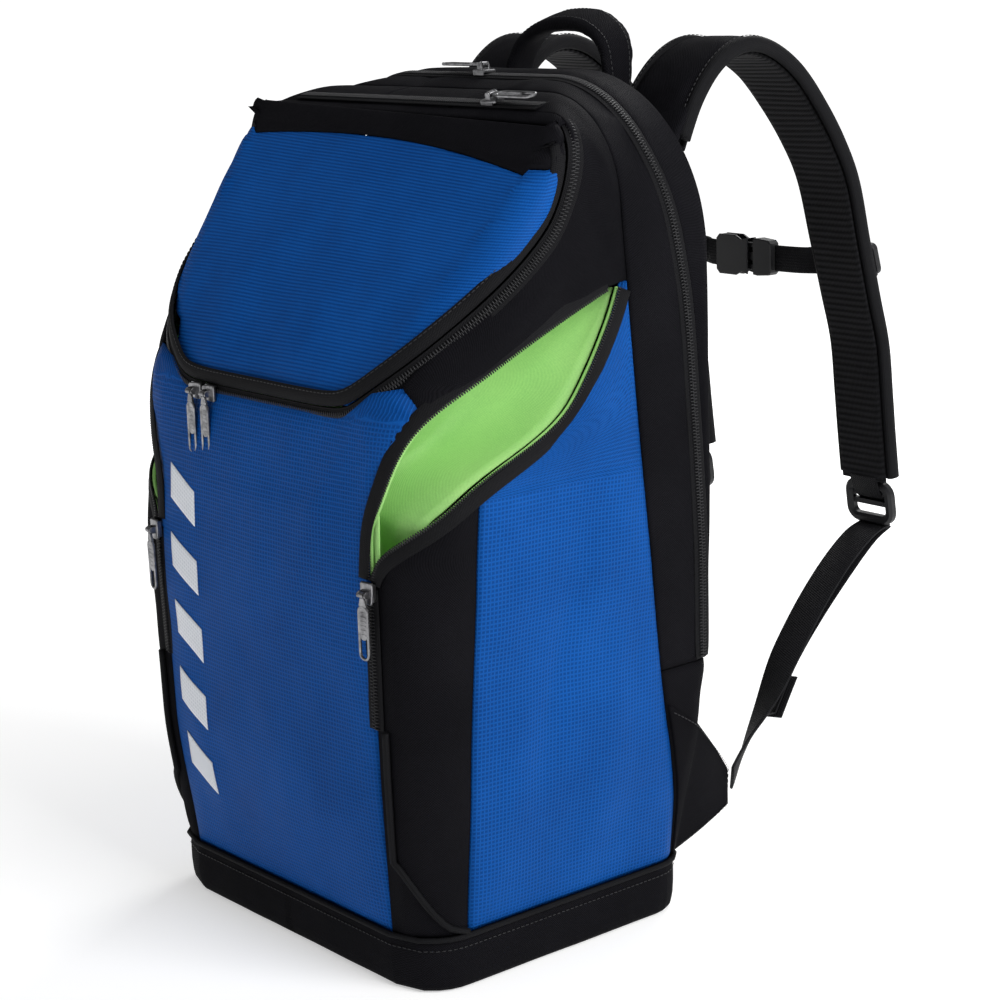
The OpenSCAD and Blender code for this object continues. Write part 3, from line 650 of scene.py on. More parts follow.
def shifted(points, distance):
    return [p + t.cross(outward(p)).normalized() * distance for p, t in zip(points, tangents(points))]


def mirrored(points):
    return [flipped(p) for p in points]


def lumps(name, places, size, material):
    """Many small rounded blocks in one mesh: stitches or zip teeth.  places are (point, along, out)."""
    sx, sy, sz = (s / 2 for s in size)
    ring = [(-1, -0.55), (-0.6, 0.7), (0.6, 0.7), (1, -0.55)]
    verts, faces = [], []
    for p, along, out in places:
        across = out.cross(along).normalized()
        base = len(verts)
        for end, k in ((-1, 0.55), (-0.6, 1), (0.6, 1), (1, 0.55)):
            for a, b in ring:
                verts.append(p + along * end * sx + across * a * sy * k + out * (b * sz * k))
        faces += rings(3, 4, base)
        faces.append((base + 3, base + 2, base + 1, base))
        faces.append((base + 12, base + 13, base + 14, base + 15))
    return mesh_object(name, verts, faces, [material], [(0, 0)] * len(verts))


def stepped(points, normals, pitch):
    """(point, along, out) every pitch millimetres along the path."""
    out, need = [], pitch * 0.5
    for a, b, na, nb in zip(points, points[1:], normals, normals[1:]):
        length = (b - a).length
        along = (b - a).normalized()
        while need < length:
            u = need / length
            out.append((a.lerp(b, u), along, na.lerp(nb, u).normalized()))
            need += pitch
        need -= length
    return out


def dropped(obj, points, normals):
    """The points moved along their normals onto a piece's surface."""
    out, reach = [], 20
    for p, n in zip(points, normals):
        hit, place, _, _ = obj.ray_cast((p + n * reach) * MM, -n, distance=2 * reach * MM)
        out.append(place / MM if hit else p)
    return out


STITCH_PITCH, COIL_PITCH = 3.6, 1.0


def raised(points, normals, lift):
    return [p + n * lift for p, n in zip(points, normals)]


def stitch_line(name, points, normals, body, lift, slot="black_polyester"):
    spots = stepped(raised(points, normals, lift), normals, STITCH_PITCH)
    finish_piece(lumps(name, spots, (2.5, 0.7, 0.55), THREAD), body, slot)


def zip_chain(name, points, nodes, normals=None, tape_w=ZIP_W, lift=0.5):
    """Tape with a row of interlocked coil teeth down the middle."""
    normals = normals or outwards(points)
    tape = sweep(name, points, normals, flat_profile(tape_w, 0.8, 0.1), TAPE, lift=lift)
    finish_piece(tape, "pack", "zip_tape", nodes)
    spots = []
    for k, (p, along, out) in enumerate(stepped(raised(points, normals, lift + 1.3), normals, COIL_PITCH)):
        across = out.cross(along).normalized()
        spots.append((p + across * (1 if k % 2 else -1), across, out))
    finish_piece(lumps(name + "_teeth", spots, (3.4, 0.95, 1.5), COIL), "pack", "zip_tape")


# ---- Folds ------------------------------------------------------------------
def fold(centre, axis, across, height, width, length):
    """One soft crease: a ridge along axis through centre, fading over its length."""
    centre, axis, across = Vector(centre), Vector(axis).normalized(), Vector(across).normalized()

    def rise(p):
        d = p - centre
        a, b = d.dot(across) / width, d.dot(axis) / length
        return height * math.exp(-a * a) * math.exp(-b * b)
    return rise


def folds_of(*creases):
    return lambda p: sum(crease(p) for crease in creases)


# ---- Base -------------------------------------------------------------------
def ring(t, grow):
    """The bag's outline at one height, grown outward."""
    half = [skin(t, mix(mid_y(t), back_at(t), k / 46)) for k in range(47)]
    loop = half + mirrored(reversed(half[1:]))
    out = []
    for i, p in enumerate(loop):
        tangent = loop[(i + 1) % len(loop)] - loop[i - 1]
        n = Vector((tangent.y, -tangent.x, 0)).normalized()
        if n.dot(p) < 0:
            n = -n
        out.append(p + n * grow)
    return out


def base_tray():
    """Fabric tray with a rolled lower edge, a hem at the top and a floor."""
    levels = [(0.0, -9, 0.0), (0.0, -5, 0.3), (1.0, -1.6, 0.6), (3.5, 0.3, 1), (8, 1.2, 1), (16, 1.7, 1),
              (24, 1.6, 1), (30, 1.2, 1), (TRAY_H - 1.5, 1.3, 0.4), (TRAY_H, 0.4, 0), (TRAY_H, -2.2, 0),
              (TRAY_H - 8, -2.4, 0), (4, -2.6, 0)]
    verts, uvs = [], []
    for z, grow, uneven in levels:
        for i, p in enumerate(ring(TRAY_H, grow)):
            sag = uneven * ripple(Vector((p.x, p.y, z * 2)), 3.1, 45)
            q = p + outward(p) * 0.8 * sag
            verts.append(Vector((q.x, q.y, z)))
            uvs.append((i * 8.0, z + (0 if grow > -4 else 60)))
    n = len(ring(TRAY_H, 0))
    faces = rings(len(levels) - 1, n)
    faces.append(tuple(reversed(range(n))))
    faces.append(tuple(range((len(levels) - 1) * n, len(levels) * n)))
    tray = mesh_object("tray_fabric", verts, faces, [BLACK], uvs)
    finish_piece(tray, "pack", "black_polyester", ["base_tray"])

    def sideways(points):
        return [Vector((p.x, p.y, 0)).normalized() for p in points]
    edge = [Vector((p.x, p.y, TRAY_H)) for p in ring(TRAY_H, 0.6)]
    cord = sweep("tray_piping", edge, sideways(edge), round_profile(1.7), TAPE, closed=True)
    finish_piece(cord, "pack", "zip_tape")
    seam = [Vector((p.x, p.y, TRAY_H - 7)) for p in ring(TRAY_H, 1.4)]
    seam = dense(seam + seam[:1], 4)
    stitch_line("tray_stitches", seam, sideways(seam), "pack", 0.5)


# ---- Shell panels -------------------------------------------------------------
GAP = 0.4
SEAM_GAP = 0.3


pocket_front = Seam(POCKET_FRONT, 60, 408, closing=40)
pocket_rear = Seam(POCKET_REAR, 20, 408, closing=40)
lid_edge = Seam(LID_EDGE, 40, 480)


def corner_seam(t):
    return curve(t, CORNER_SEAM)


def rear_seam(t):
    return curve(t, REAR_SEAM)


def racket_zip_y(t):
    return curve(t, RACKET_ZIP)


def front_limit(t):
    return (front_at(t) if t < POCKET_LOW else pocket_front(t)) - GAP


def shoulder_front(t):
    if t < TRIANGLE_TOP:
        return mix(pocket_front(SHOULDER_TIP), lid_edge(TRIANGLE_TOP) + 3,
                   (t - SHOULDER_TIP) / (TRIANGLE_TOP - SHOULDER_TIP))
    return lid_edge(t) + 3


def front_top(s):
    """How high the front panel reaches: under the lid's zip, and up to the shoulder panel beside it."""
    top = LID_LOW_Z - 2
    for t in np.arange(top, TRIANGLE_TOP, 0.5):
        y = mix(mid_y(t), front_limit(t), s)
        if lid_edge(t) + 2 <= y <= shoulder_front(t) + 1.5:
            top = t
    return top


FRONT_TOP = [front_top(i / 60) for i in range(61)]


def front_point(u, v):
    s = 2 * v - 1
    top = float(np.interp(abs(s) * 60, range(61), FRONT_TOP))
    t = mix(TRAY_H + GAP, top, u)
    return flipped(skin(t, mix(mid_y(t), front_limit(t), abs(s))), s < 0)


FRONT_FOLDS = folds_of(fold((70, -115, 300), (0.6, 0, 1), (1, 0, -0.6), 1.6, 12, 60),
                       fold((-75, -115, 120), (-0.3, 0, 1), (1, 0, 0.3), 1.3, 14, 80),
                       fold((40, -115, 90), (0.8, 0, 0.5), (-0.5, 0, 0.8), 1.2, 11, 60))


def between(t0, t1, ya, yb):
    def at(u, v):
        t = mix(t0, t1, u)
        return skin(t, mix(ya(t), yb(t), v))
    return at


def sided(name, rows, cols, at, slot, node, materials, **options):
    """A right-hand panel and its mirror image, each for its own CAD node."""
    for side, mirror in (("right", False), ("left", True)):
        sheet(f"{name}_{side}", rows, cols, at, "pack", slot, [f"{node}_{side}"], materials,
              mirror=mirror, **options)


def shell():
    sheet("front_cloth", 64, 60, front_point, "pack", "blue_ripstop", ["front_panel"], [BLUE, LINER],
          puff=2.0, uneven=1.3, folds=FRONT_FOLDS, level_uv=True)
    sided("corner_cloth", 60, 14, between(TRAY_H + GAP, CORNER_TIP,
          lambda t: front_at(t) if t < POCKET_LOW else pocket_rear(t), lambda t: corner_seam(t) - SEAM_GAP),
          "black_polyester", "corner_panel", [BLACK, LINER], puff=2.2, uneven=1.0)
    side_folds = folds_of(fold((150, -10, 190), (0, 0.25, 1), (0, 1, -0.25), -2.2, 13, 90),
                          fold((150, 25, 120), (0, 0.1, 1), (0, 1, -0.1), 1.6, 15, 80),
                          fold((150, -40, 120), (0, -0.1, 1), (0, 1, 0.1), 1.4, 12, 70))
    sided("side_cloth", 80, 34, between(TRAY_H + GAP, POCKET_TOP,
          lambda t: (corner_seam(t) if t < CORNER_TIP else pocket_rear(t)) + SEAM_GAP,
          lambda t: rear_seam(t) - SEAM_GAP),
          "blue_ripstop", "side_panel", [BLUE, LIME], puff=2.6, uneven=1.8, folds=side_folds)

    shoulder_folds = folds_of(fold((148, 20, 440), (0, 0.8, -1), (0, 1, 0.8), -4.2, 7, 34),
                              fold((148, 8, 452), (0, 0.8, -1), (0, 1, 0.8), 3.4, 6, 30),
                              fold((148, 32, 470), (0, 0.5, -1), (0, 1, 0.5), 2.0, 6, 26),
                              fold((140, -30, 400), (0, 1, 0.7), (0, -0.7, 1), 1.8, 8, 40))
    sided("shoulder_cloth", 90, 22, between(SHOULDER_TIP, T_FLAT, shoulder_front,
          lambda t: pocket_front(t) - GAP if t < POCKET_TOP else rear_seam(t) - SEAM_GAP),
          "black_polyester", "shoulder_panel", [BLACK, LINER], puff=2.0, uneven=1.5, folds=shoulder_folds)

    def top_point(u, v):
        y = mix(lid_edge(T_FLAT) + 3, rear_seam(T_FLAT) - SEAM_GAP, u)
        return Vector((mix(-FLAT_X, FLAT_X, v), y, hoop(T_FLAT, y)[2]))
    sheet("top_cloth", 12, 22, top_point, "pack", "black_polyester", ["top_panel"], [BLACK, LINER],
          puff=1.2, uneven=1.2, seam=4)
    sided("lower_block_cloth", 30, 10, between(TRAY_H + GAP, RACKET_END - GAP,
          lambda t: rear_seam(t) + SEAM_GAP, lambda t: back_at(t)),
          "black_polyester", "lower_block", [BLACK, LINER], puff=1.6, uneven=0.8, seam=5)

    def lower_back_point(u, v):
        t = mix(TRAY_H + GAP, RACKET_END - GAP, u)
        x = skin(t, back_at(t)).x - GAP
        return Vector((mix(x, -x, v), back_at(t), t))
    sheet("lower_back_cloth", 30, 44, lower_back_point, "pack", "black_polyester", ["lower_back"],
          [BLACK, LINER], puff=0.5, uneven=0.4)

    def divider_point(u, v):
        z = mix(TRAY_H + 3, 488, u)
        half = smooth(z, [(TRAY_H, 117), (120, 131), (400, 139), (450, 121), (490, 83)])
        y = smooth(z, [(TRAY_H, 92), (160, 90), (300, 76), (490, 50)]) + 4
        return Vector((mix(half, -half, v), y, z))
    sheet("divider_cloth", 40, 24, divider_point, "pack", "black_polyester", ["divider"], [LINER, LINER],
          puff=0.0, uneven=0.0, thickness=4)
    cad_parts["base_board"].material_slots[0].material = PLASTIC


def band(name, ya, yb, body, node, cols):
    """A gusset right over the arch."""
    def at(u, v):
        s = 2 * u - 1
        t = mix(T_MID, RACKET_END + GAP, abs(s))
        return flipped(skin(t, mix(ya(t), yb(t), v)), s < 0)
    sheet(name, 200, cols, at, body, "black_polyester", [node], [BLACK, LINER], puff=1.5, uneven=0.9, seam=4,
          folds=folds_of(fold((60, 55, 520), (0.2, 1, 0), (1, -0.2, 0), 1.5, 6, 20),
                         fold((-40, 52, 520), (-0.3, 1, 0), (1, 0.3, 0), -1.4, 6, 20),
                         fold((120, 60, 490), (0, 1, 0.2), (1, 0, -1), 1.6, 6, 24)))


ZIP_CLEAR, TAPE_CLEAR = 2.5, ZIP_W / 2 + GAP


def gussets():
    band("front_gusset", lambda t: rear_seam(t) + SEAM_GAP, lambda t: racket_zip_y(t) - ZIP_CLEAR, "pack",
         "gusset_front", 14)
    band("rear_gusset", lambda t: racket_zip_y(t) + TAPE_CLEAR, lambda t: BACK_Y - 0.2, "back_flap",
         "gusset_rear", 16)


# ---- Side pockets ---------------------------------------------------------------
POCKET_DEPTH, POCKET_FLOOR, LINING_TURN = 52, 196, 285


def pocket_lining():
    def limits(t):
        a = max(front_at(t) + 1.5, pocket_front(t) - 1)
        turn = (t - POCKET_FLOOR) / (LINING_TURN - POCKET_FLOOR)
        b = pocket_rear(t) + 1 if t > LINING_TURN else mix(-60, pocket_rear(LINING_TURN), turn)
        return a, max(a + 14, b)

    def at(u, v):
        t = mix(POCKET_FLOOR, POCKET_TOP - 4, u)
        a, b = limits(t)
        p = skin(t, mix(a, b, v))
        tall = clamp((t - POCKET_FLOOR + 6) / (POCKET_TOP - POCKET_FLOOR + 12), 0, 1)
        deep = 3 + 2.2 + POCKET_DEPTH * math.sin(math.pi * v) ** 0.8 * math.sin(math.pi * tall) ** 0.6
        crease = 1.6 * math.sin(v * 9 + t * 0.05) * math.sin(math.pi * v)
        return Vector((p.x - deep + crease, p.y, p.z))
    sided("pocket_cloth", 50, 30, at, "lime_lining", "pocket_lining", [LIME], puff=0.0, uneven=0.8,
          thickness=1.0)


def pocket_path(line, shift):
    heights = [mix(POCKET_LOW, POCKET_TOP - 3, i / 60) for i in range(61)]
    return [skin(t, line(t) + shift) for t in heights]


# The closed zip below the pocket's opening, and where the piping below it turns up
CLOSED_LOW, CLOSED_TOP, PIPING_TURN = 168, 240, 84


def corner_line(t, shift=0.0):
    return skin(t, front_at(t) + shift)


def both(path):
    return [("right", path), ("left", mirrored(path))]


def first(node, side):
    """The right-hand piece stands for a CAD node that holds both sides."""
    return [node] if side == "right" else []


def pocket_zips():
    nodes = ["pocket_rims"]
    for line, sign, edge in ((pocket_front, -1, "front"), (pocket_rear, 1, "rear")):
        for side, path in both(relax(shifted(pocket_path(line, 0), sign * 4.5), 6)):
            tape = sweep(f"pocket_tape_{edge}_{side}", path, outwards(path), flat_profile(8.5, 1.2), TAPE,
                         lift=1.0)
            finish_piece(tape, "pack", "zip_tape", nodes)
            nodes = []
        for side, path in both(relax(pocket_path(line, sign * 0.2), 3)):
            normals = outwards(path)
            spots = [(p + n * 1.6, n.cross(a).normalized(), n) for p, a, n in stepped(path, normals, 1.6)]
            teeth = lumps(f"pocket_teeth_{edge}_{side}", spots, (3.0, 1.1, 1.7), COIL)
            finish_piece(teeth, "pack", "zip_tape")
            bead = sweep(f"pocket_bead_{edge}_{side}", path, normals, round_profile(1.3, 8), LIME, lift=-2.4)
            finish_piece(bead, "pack", "lime_lining")
    closed = [corner_line(mix(CLOSED_LOW - 4, CLOSED_TOP + 8, i / 8)) for i in range(9)]
    for side, path in both(dense(closed, 4)):
        zip_chain(f"pocket_zip_{side}", path, first("pocket_zips", side))
    rise = [skin(mix(TRAY_H + 4, PIPING_TURN, i / 10),
                 mix(-76, front_at(PIPING_TURN) + 1, math.sqrt(i / 10))) for i in range(11)]
    run = [corner_line(mix(PIPING_TURN, CLOSED_LOW - 4, i / 8), 1) for i in range(1, 9)]
    for side, path in both(dense(rise + run, 4)):
        cord = sweep(f"piping_{side}", path, outwards(path), round_profile(2.1), TAPE, lift=0.6)
        finish_piece(cord, "pack", "zip_tape", first("piping", side))


# ---- Zips over the arch and round the lid ------------------------------------------
def arch(half):
    return half + mirrored(reversed(half[:-1]))


def racket_zip():
    spots = [(t, racket_zip_y(t)) for t in [mix(RACKET_END + 2, T_FLAT - 2, i / 90) for i in range(91)]]
    path, normals = [skin(t, y) for t, y in spots], [skin_normal(t, y) for t, y in spots]
    zip_chain("racket_chain", path + mirrored(reversed(path)), ["racket_zip"],
              normals + mirrored(reversed(normals)))


def edge_path(top):
    """The lid's outline, from the height top on one side down, along its lower edge and up again."""
    heights = [mix(top, LID_LOW_Z, 1 - (1 - i / 89) ** 1.4) for i in range(90)]
    half = [skin(t, lid_edge(t)) for t in heights]
    x0 = half[-1].x
    half += [skin(LID_LOW_Z, mid_y(LID_LOW_Z) + x0 * (1 - i / 16)) for i in range(1, 17)]
    return relax(dense(arch(half), 4), 34)


def strip_low(s):
    """The blue panel's upper edge, which drops toward both sides."""
    return 488 - 11 * s * s


# Where the lid's zip meets the end of the top pocket's; how far inside the lid's
# edge its cloth ends, its binding and the binding's seam lie, and how far outside
# it the zip lies
TOP_ZIP_MEET = 540
LID_INSET, BINDING_INSET, BINDING_SEAM, LID_ZIP_OUT = 4, 5, 8, 5


def lid_point(t, s):
    return skin(t, mix(mid_y(t), lid_edge(t) - LID_INSET, abs(s)))


def lid():
    def blue(u, v):
        s = 2 * v - 1
        return flipped(lid_point(mix(LID_LOW_Z + 3, strip_low(s), u), s), s < 0)
    lid_folds = folds_of(fold((100, -70, 400), (0.6, 0.3, 1), (1, 0, -0.6), -2.0, 16, 60),
                         fold((-60, -90, 380), (-0.2, 0.4, 1), (1, 0, 0.2), 1.8, 22, 60),
                         fold((20, -50, 440), (0.2, 0.5, 1), (1, 0, -0.2), 1.4, 25, 60))
    sheet("lid_cloth", 44, 64, blue, "lid", "blue_ripstop", ["lid_panel"], [BLUE_LID, LINER], puff=2.2,
          uneven=1.6, folds=lid_folds, level_uv=True)

    def strip(u, v):
        s = 2 * v - 1
        flat = 0.7
        p = lid_point(mix(strip_low(s) + GAP, LID_TOP_Z - 2, min(u / flat, 1)), s)
        roll = max(0, u - flat) / 0.3
        return flipped(p + Vector((0, 0.8 * roll, 1.2 * math.sin(roll * math.pi / 2))), s < 0)
    sheet("lid_strip_cloth", 14, 70, strip, "lid", "black_polyester", ["lid_strip"], [BLACK, LINER], puff=1.6,
          uneven=1.2, seam=3, level_uv=True)
    path = edge_path(T_MID)
    binding = [p for p in shifted(path, BINDING_INSET) if p.z < LID_TOP_Z - 5]
    tape = sweep("lid_binding_tape", binding, outwards(binding), flat_profile(9, 2.4, 0.6), TAPE, lift=0.3)
    finish_piece(tape, "lid", "zip_tape", ["lid_binding"])
    seam = [p for p in dense(shifted(path, BINDING_SEAM), 4) if p.z < LID_TOP_Z - 24]
    stitch_line("lid_binding_stitches", seam, outwards(seam), "lid", 2.7, "zip_tape")
    track = shifted(edge_path(TOP_ZIP_MEET), -LID_ZIP_OUT)
    for p in track:
        if p.z > LID_TOP_Z - 10:
            p.y += 4 * fade((HALF_BODY - abs(p.x)) / 30)
    zip_chain("lid_chain", track, ["lid_zip"], tape_w=10)


# Where the top pocket's zip lies, and half its length
TOP_ZIP_Y, TOP_ZIP_HALF = 14, 118


def over_top(x, y):
    """The height of the bag's top."""
    r = smooth(y, TOP_ROUND)
    return smooth(y, TOP) - arc_drop(r, (abs(x) - (HALF_BODY - r)) / r)


def top_zip():
    path = [Vector((x, TOP_ZIP_Y, over_top(x, TOP_ZIP_Y)))
            for x in [mix(TOP_ZIP_HALF, -TOP_ZIP_HALF, i / 60) for i in range(61)]]

    def facing(u, v):
        x, y = mix(HALF_BODY - 7, 7 - HALF_BODY, v), mix(1.0, TOP_ZIP_Y - 4, u)
        return Vector((x, y, over_top(x, y) - 1.8 * (1 - u)))
    sheet("top_facing", 4, 70, facing, "pack", "black_polyester", [], [BLACK], puff=1.0, uneven=0.5,
          seam=3)
    zip_chain("top_chain", path, ["top_zip"], [Vector((0, -0.29, 0.957))] * len(path), lift=1.0)


# ---- Printed stripes ------------------------------------------------------------------
STRIPES, STRIPE_LOW, STRIPE_PITCH, STRIPE_H, STRIPE_SLANT = 5, 80, 44, 22, 14
STRIPE_X = (-92, -62)


def stripes():
    for k in range(STRIPES):
        def at(u, v, z0=STRIPE_LOW + k * STRIPE_PITCH):
            z = z0 + STRIPE_H * u + STRIPE_SLANT * (1 - v)
            p = flipped(skin(z, mid_y(z) - mix(*STRIPE_X, v)))
            rise = 2.0 + 1.3 * ripple(p, 0.0) + FRONT_FOLDS(p)
            return p + outward(p) * (rise + 0.45)
        sheet(f"stripe_{k}", 8, 10, at, "pack", "white_print", [] if k else ["front_stripes"], [PRINT],
              puff=0, uneven=0, thickness=0.3)


# ---- Helpers for padded and moulded pieces ----------------------------------------------
def twin(obj, name):
    """The mirror image of a right-hand piece."""
    mesh = obj.data.copy()
    mesh.transform(Matrix.Scale(-1, 4, (1, 0, 0)))
    mesh.flip_normals()
    return add_object(name, mesh)


def pair(obj, body, slot, node=None):
    """Finishes a right-hand piece and its twin; node is the CAD node's name without its side."""
    other = twin(obj, obj.name.removesuffix("_right") + "_left")
    for side, piece in (("right", obj), ("left", other)):
        nodes = [f"{node}_{side}"] if f"{node}_{side}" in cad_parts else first(node, side)
        finish_piece(piece, body, slot, nodes if node else [])
    return obj, other


def join(name, objects, soft=False):
    """One object made of several, keeping each one's first material."""
    bm = bmesh.new()
    materials = []
    for obj in objects:
        start = len(bm.faces)
        bm.from_mesh(obj.data)
        bm.faces.ensure_lookup_table()
        material = obj.data.materials[0]
        if material not in materials:
            materials.append(material)
        for face in bm.faces[start:]:
            face.material_index = materials.index(material)
    mesh = bpy.data.meshes.new(name)
    bm.to_mesh(mesh)
    bm.free()
    for material in materials:
        mesh.materials.append(material)
    for obj in objects:
        bpy.data.objects.remove(obj)
    shade(mesh, soft)
    return add_object(name, mesh)


def coords(mesh):
    out = np.empty(len(mesh.vertices) * 3)
    mesh.vertices.foreach_get("co", out)
    return out.reshape(-1, 3)


PRESSURE, CLOTH_MASS, CLOTH_FRAMES = 4.0, 0.2, 20


def inflate(obj, voxel, cap):
    """Fills a padded piece like a cushion, with no point moving further than cap."""
    remesh = obj.modifiers.new("remesh", "REMESH")
    remesh.mode = "VOXEL"
    remesh.voxel_size = voxel * MM
    material = obj.data.materials[0]
    apply_modifiers(obj)
    start = coords(obj.data)
    cloth = obj.modifiers.new("cloth", "CLOTH")
    cloth.settings.quality = 5
    cloth.settings.mass = CLOTH_MASS
    cloth.settings.use_pressure = True
    cloth.settings.uniform_pressure_force = PRESSURE
    cloth.settings.effector_weights.gravity = 0
    for k in range(1, CLOTH_FRAMES + 1):
        bpy.context.scene.frame_set(k)
    apply_modifiers(obj)
    moved = coords(obj.data) - start
    length = np.linalg.norm(moved, axis=1, keepdims=True)
    moved *= np.minimum(1, cap * MM / np.maximum(length, 1e-9))
    obj.data.vertices.foreach_set("co", (start + moved).ravel())
    bpy.context.scene.frame_set(1)
    obj.modifiers.new("relax", "SMOOTH").iterations = 4
    obj.modifiers.new("fine", "SUBSURF").levels = 1
    apply_modifiers(obj)
    obj.data.materials.clear()
    obj.data.materials.append(material)
    shade(obj.data, True)


def lay_uv(obj, place):
    """Sets the fabric coordinates: place(point_mm, normal) gives (u, v) in millimetres."""
    layer = obj.data.uv_layers.get("fabric") or obj.data.uv_layers.new(name="fabric")
    for face in obj.data.polygons:
        for loop in face.loop_indices:
            p = obj.data.vertices[obj.data.loops[loop].vertex_index].co / MM
            u, v = place(p, face.normal)
            layer.data[loop].uv = (u * MM, v * MM)


def box_uv(p, normal):
    if abs(normal.y) >= max(abs(normal.x), abs(normal.z)):
        return p.x, p.z
    return (p.y, p.z) if abs(normal.x) > abs(normal.z) else (p.x, p.y)


def rounded_outline(w, l, r, steps=6):
    out = []
    for cx, cz, a0 in ((1, 1, 0), (-1, 1, 90), (-1, -1, 180), (1, -1, 270)):
        for k in range(steps + 1):
            a = math.radians(a0 + 90 * k / steps)
            out.append((cx * (w / 2 - r) + r * math.cos(a), cz * (l / 2 - r) + r * math.sin(a)))
    return out


def block(x0, x1, y0, y1):
    return [(x0, y0), (x1, y0), (x1, y1), (x0, y1)]


def plate(name, outline, levels, material=PLASTIC):
    """Stacked outlines in local x and y; levels are (z, inset)."""
    n = len(outline)
    cx, cy = (sum(p[k] for p in outline) / n for k in (0, 1))
    verts = []
    for z, inset in levels:
        for x, y in outline:
            away = math.hypot(x - cx, y - cy) or 1
            k = 1 - inset / away
            verts.append(Vector((cx + (x - cx) * k, cy + (y - cy) * k, z)))
    faces = [tuple(reversed(range(n))), tuple(range((len(levels) - 1) * n, len(levels) * n))]
    faces += rings(len(levels) - 1, n)
    return mesh_object(name, verts, faces, [material], [(v.x, v.y) for v in verts])


def placed(obj, at, direction, up):
    """Moves a piece from local axes, +X along direction and +Z along up, to its place in millimetres."""
    x = Vector(direction).normalized()
    y = Vector(up).cross(x).normalized()
    z = x.cross(y)
    m = Matrix((x, y, z)).transposed().to_4x4()
    m.translation = sagged(Vector(at)) * MM
    obj.data.transform(m)
    return obj


def loop_bar(name, outline, profile, material, z=0.0):
    """A closed frame bar following an outline in the local x-y plane."""
    points = [Vector((x, y, z)) for x, y in outline]
    return sweep(name, points, [Vector((0, 0, 1))] * len(points), profile, material, closed=True)


def bar_profile(w, h, r=0.4):
    return [(-w / 2, r), (-w / 2, h - r), (-w / 2 + r, h), (w / 2 - r, h), (w / 2, h - r), (w / 2, r),
            (w / 2 - r, 0), (-w / 2 + r, 0)]


# ---- Lugs -------------------------------------------------------------------------------
LUG_TIP, LUG_SEWN = Vector((125, 149, 66)), 0.55


def lugs():
    """Cloth triangles, sewn to the bag over the first part of their length, that hold the webbing."""
    def at(u, v):
        sewn = min(v / LUG_SEWN, 1)
        t = mix(37, mix(142, 122, sewn), u)
        on_bag = skin(t, mix(rear_seam(t) + 1, back_at(t) - 7, sewn))
        on_bag = on_bag + outward(on_bag) * 2.2
        if v <= LUG_SEWN:
            return on_bag
        k = (v - LUG_SEWN) / 0.45
        tip = LUG_TIP + Vector((1.4, 0, mix(-12, 12, u)))
        return on_bag.lerp(tip, k) + Vector((1.5 * math.sin(math.pi * k), 0, 0))
    edge = [at(1 - 0.04, 0.02 + 0.96 * i / 20) for i in range(21)]
    edge += [at(0.96 - 0.92 * i / 10, 0.97) for i in range(1, 11)]
    edge += [at(0.04, 0.97 - 0.4 * i / 10) for i in range(1, 11)]
    for side, path in both(edge):
        sheet(f"lug_cloth_{side}", 20, 26, at, "pack", "black_polyester", first("lugs", side), [BLACK],
              puff=0.8, uneven=0.7, seam=4, thickness=3, mirror=side == "left")
        path = dense(path, 3)
        stitch_line(f"lug_stitches_{side}", path, outwards(path), "pack", 1.6)


# ---- Back of the racket compartment --------------------------------------------------------
BACK_DIR = Vector((0, 1, 0))


def back_panel():
    def at(u, v):
        p = Vector(hoop(mix(RACKET_END + 2, T_FLAT, u), BACK_Y - 0.2))
        x = p.x - 4.2 * p.x / 140
        z = p.z - (4.2 * 0.8 if u > 0.5 else 0)
        return Vector((mix(x, -x, v), BACK_Y - 0.6, z))
    sheet("back_cloth", 60, 40, at, "back_flap", "black_polyester", ["back_board"], [MESH], puff=0.5,
          uneven=0.3, thickness=3.4)
    rim = [Vector(hoop(mix(RACKET_END + 2, T_FLAT, i / 60), BACK_Y - 0.2)) for i in range(61)]
    rim = relax([Vector((p.x - 1.6, BACK_Y - 0.6, p.z - 1.2)) for p in rim], 3)
    path = dense(rim + mirrored(reversed(rim)), 5)
    cord = sweep("back_piping", path, [BACK_DIR] * len(path), round_profile(1.7, 8), TAPE, lift=-1.0)
    finish_piece(cord, "back_flap", "zip_tape")


PAD_T, PAD_CORNER = 13, 16
BACK_PAD, LUMBAR, ANCHOR_Z = (62, 350, 82, 210), (0, 205, 216, 66), 482   # x, z, width and length


def pad_with_channels(name, place, channels):
    """A pad on the back panel; channels are (middle in z, slope) grooves sewn across it."""
    x0, z0, w, l = place
    t, y0 = PAD_T * 0.78, BACK_Y + GAP
    levels = [(0, 1.5), (t * 0.2, 0.2), (t * 0.55, 0.4), (t * 0.8, 2.2), (t * 0.95, 5.5)]
    pad = plate(name, rounded_outline(w, l, PAD_CORNER), levels, MESH)
    inflate(placed(pad, (x0, y0, z0), (1, 0, 0), BACK_DIR), 4.5, 4)
    for v in pad.data.vertices:
        p = v.co / MM
        if (p.y - y0) / PAD_T < 0.25:
            continue
        sink = sum(3.6 * math.exp(-((p.z - cz - slope * (p.x - x0)) / 3.2) ** 2) for cz, slope in channels)
        v.co.y = min(v.co.y, (y0 + PAD_T) * MM) - sink * MM
    lay_uv(pad, box_uv)
    return pad


def back_outline(x, y, z, w, l, r, steps=6):
    return [Vector((x + dx, y, z + dz)) for dx, dz in rounded_outline(w, l, r, steps)]


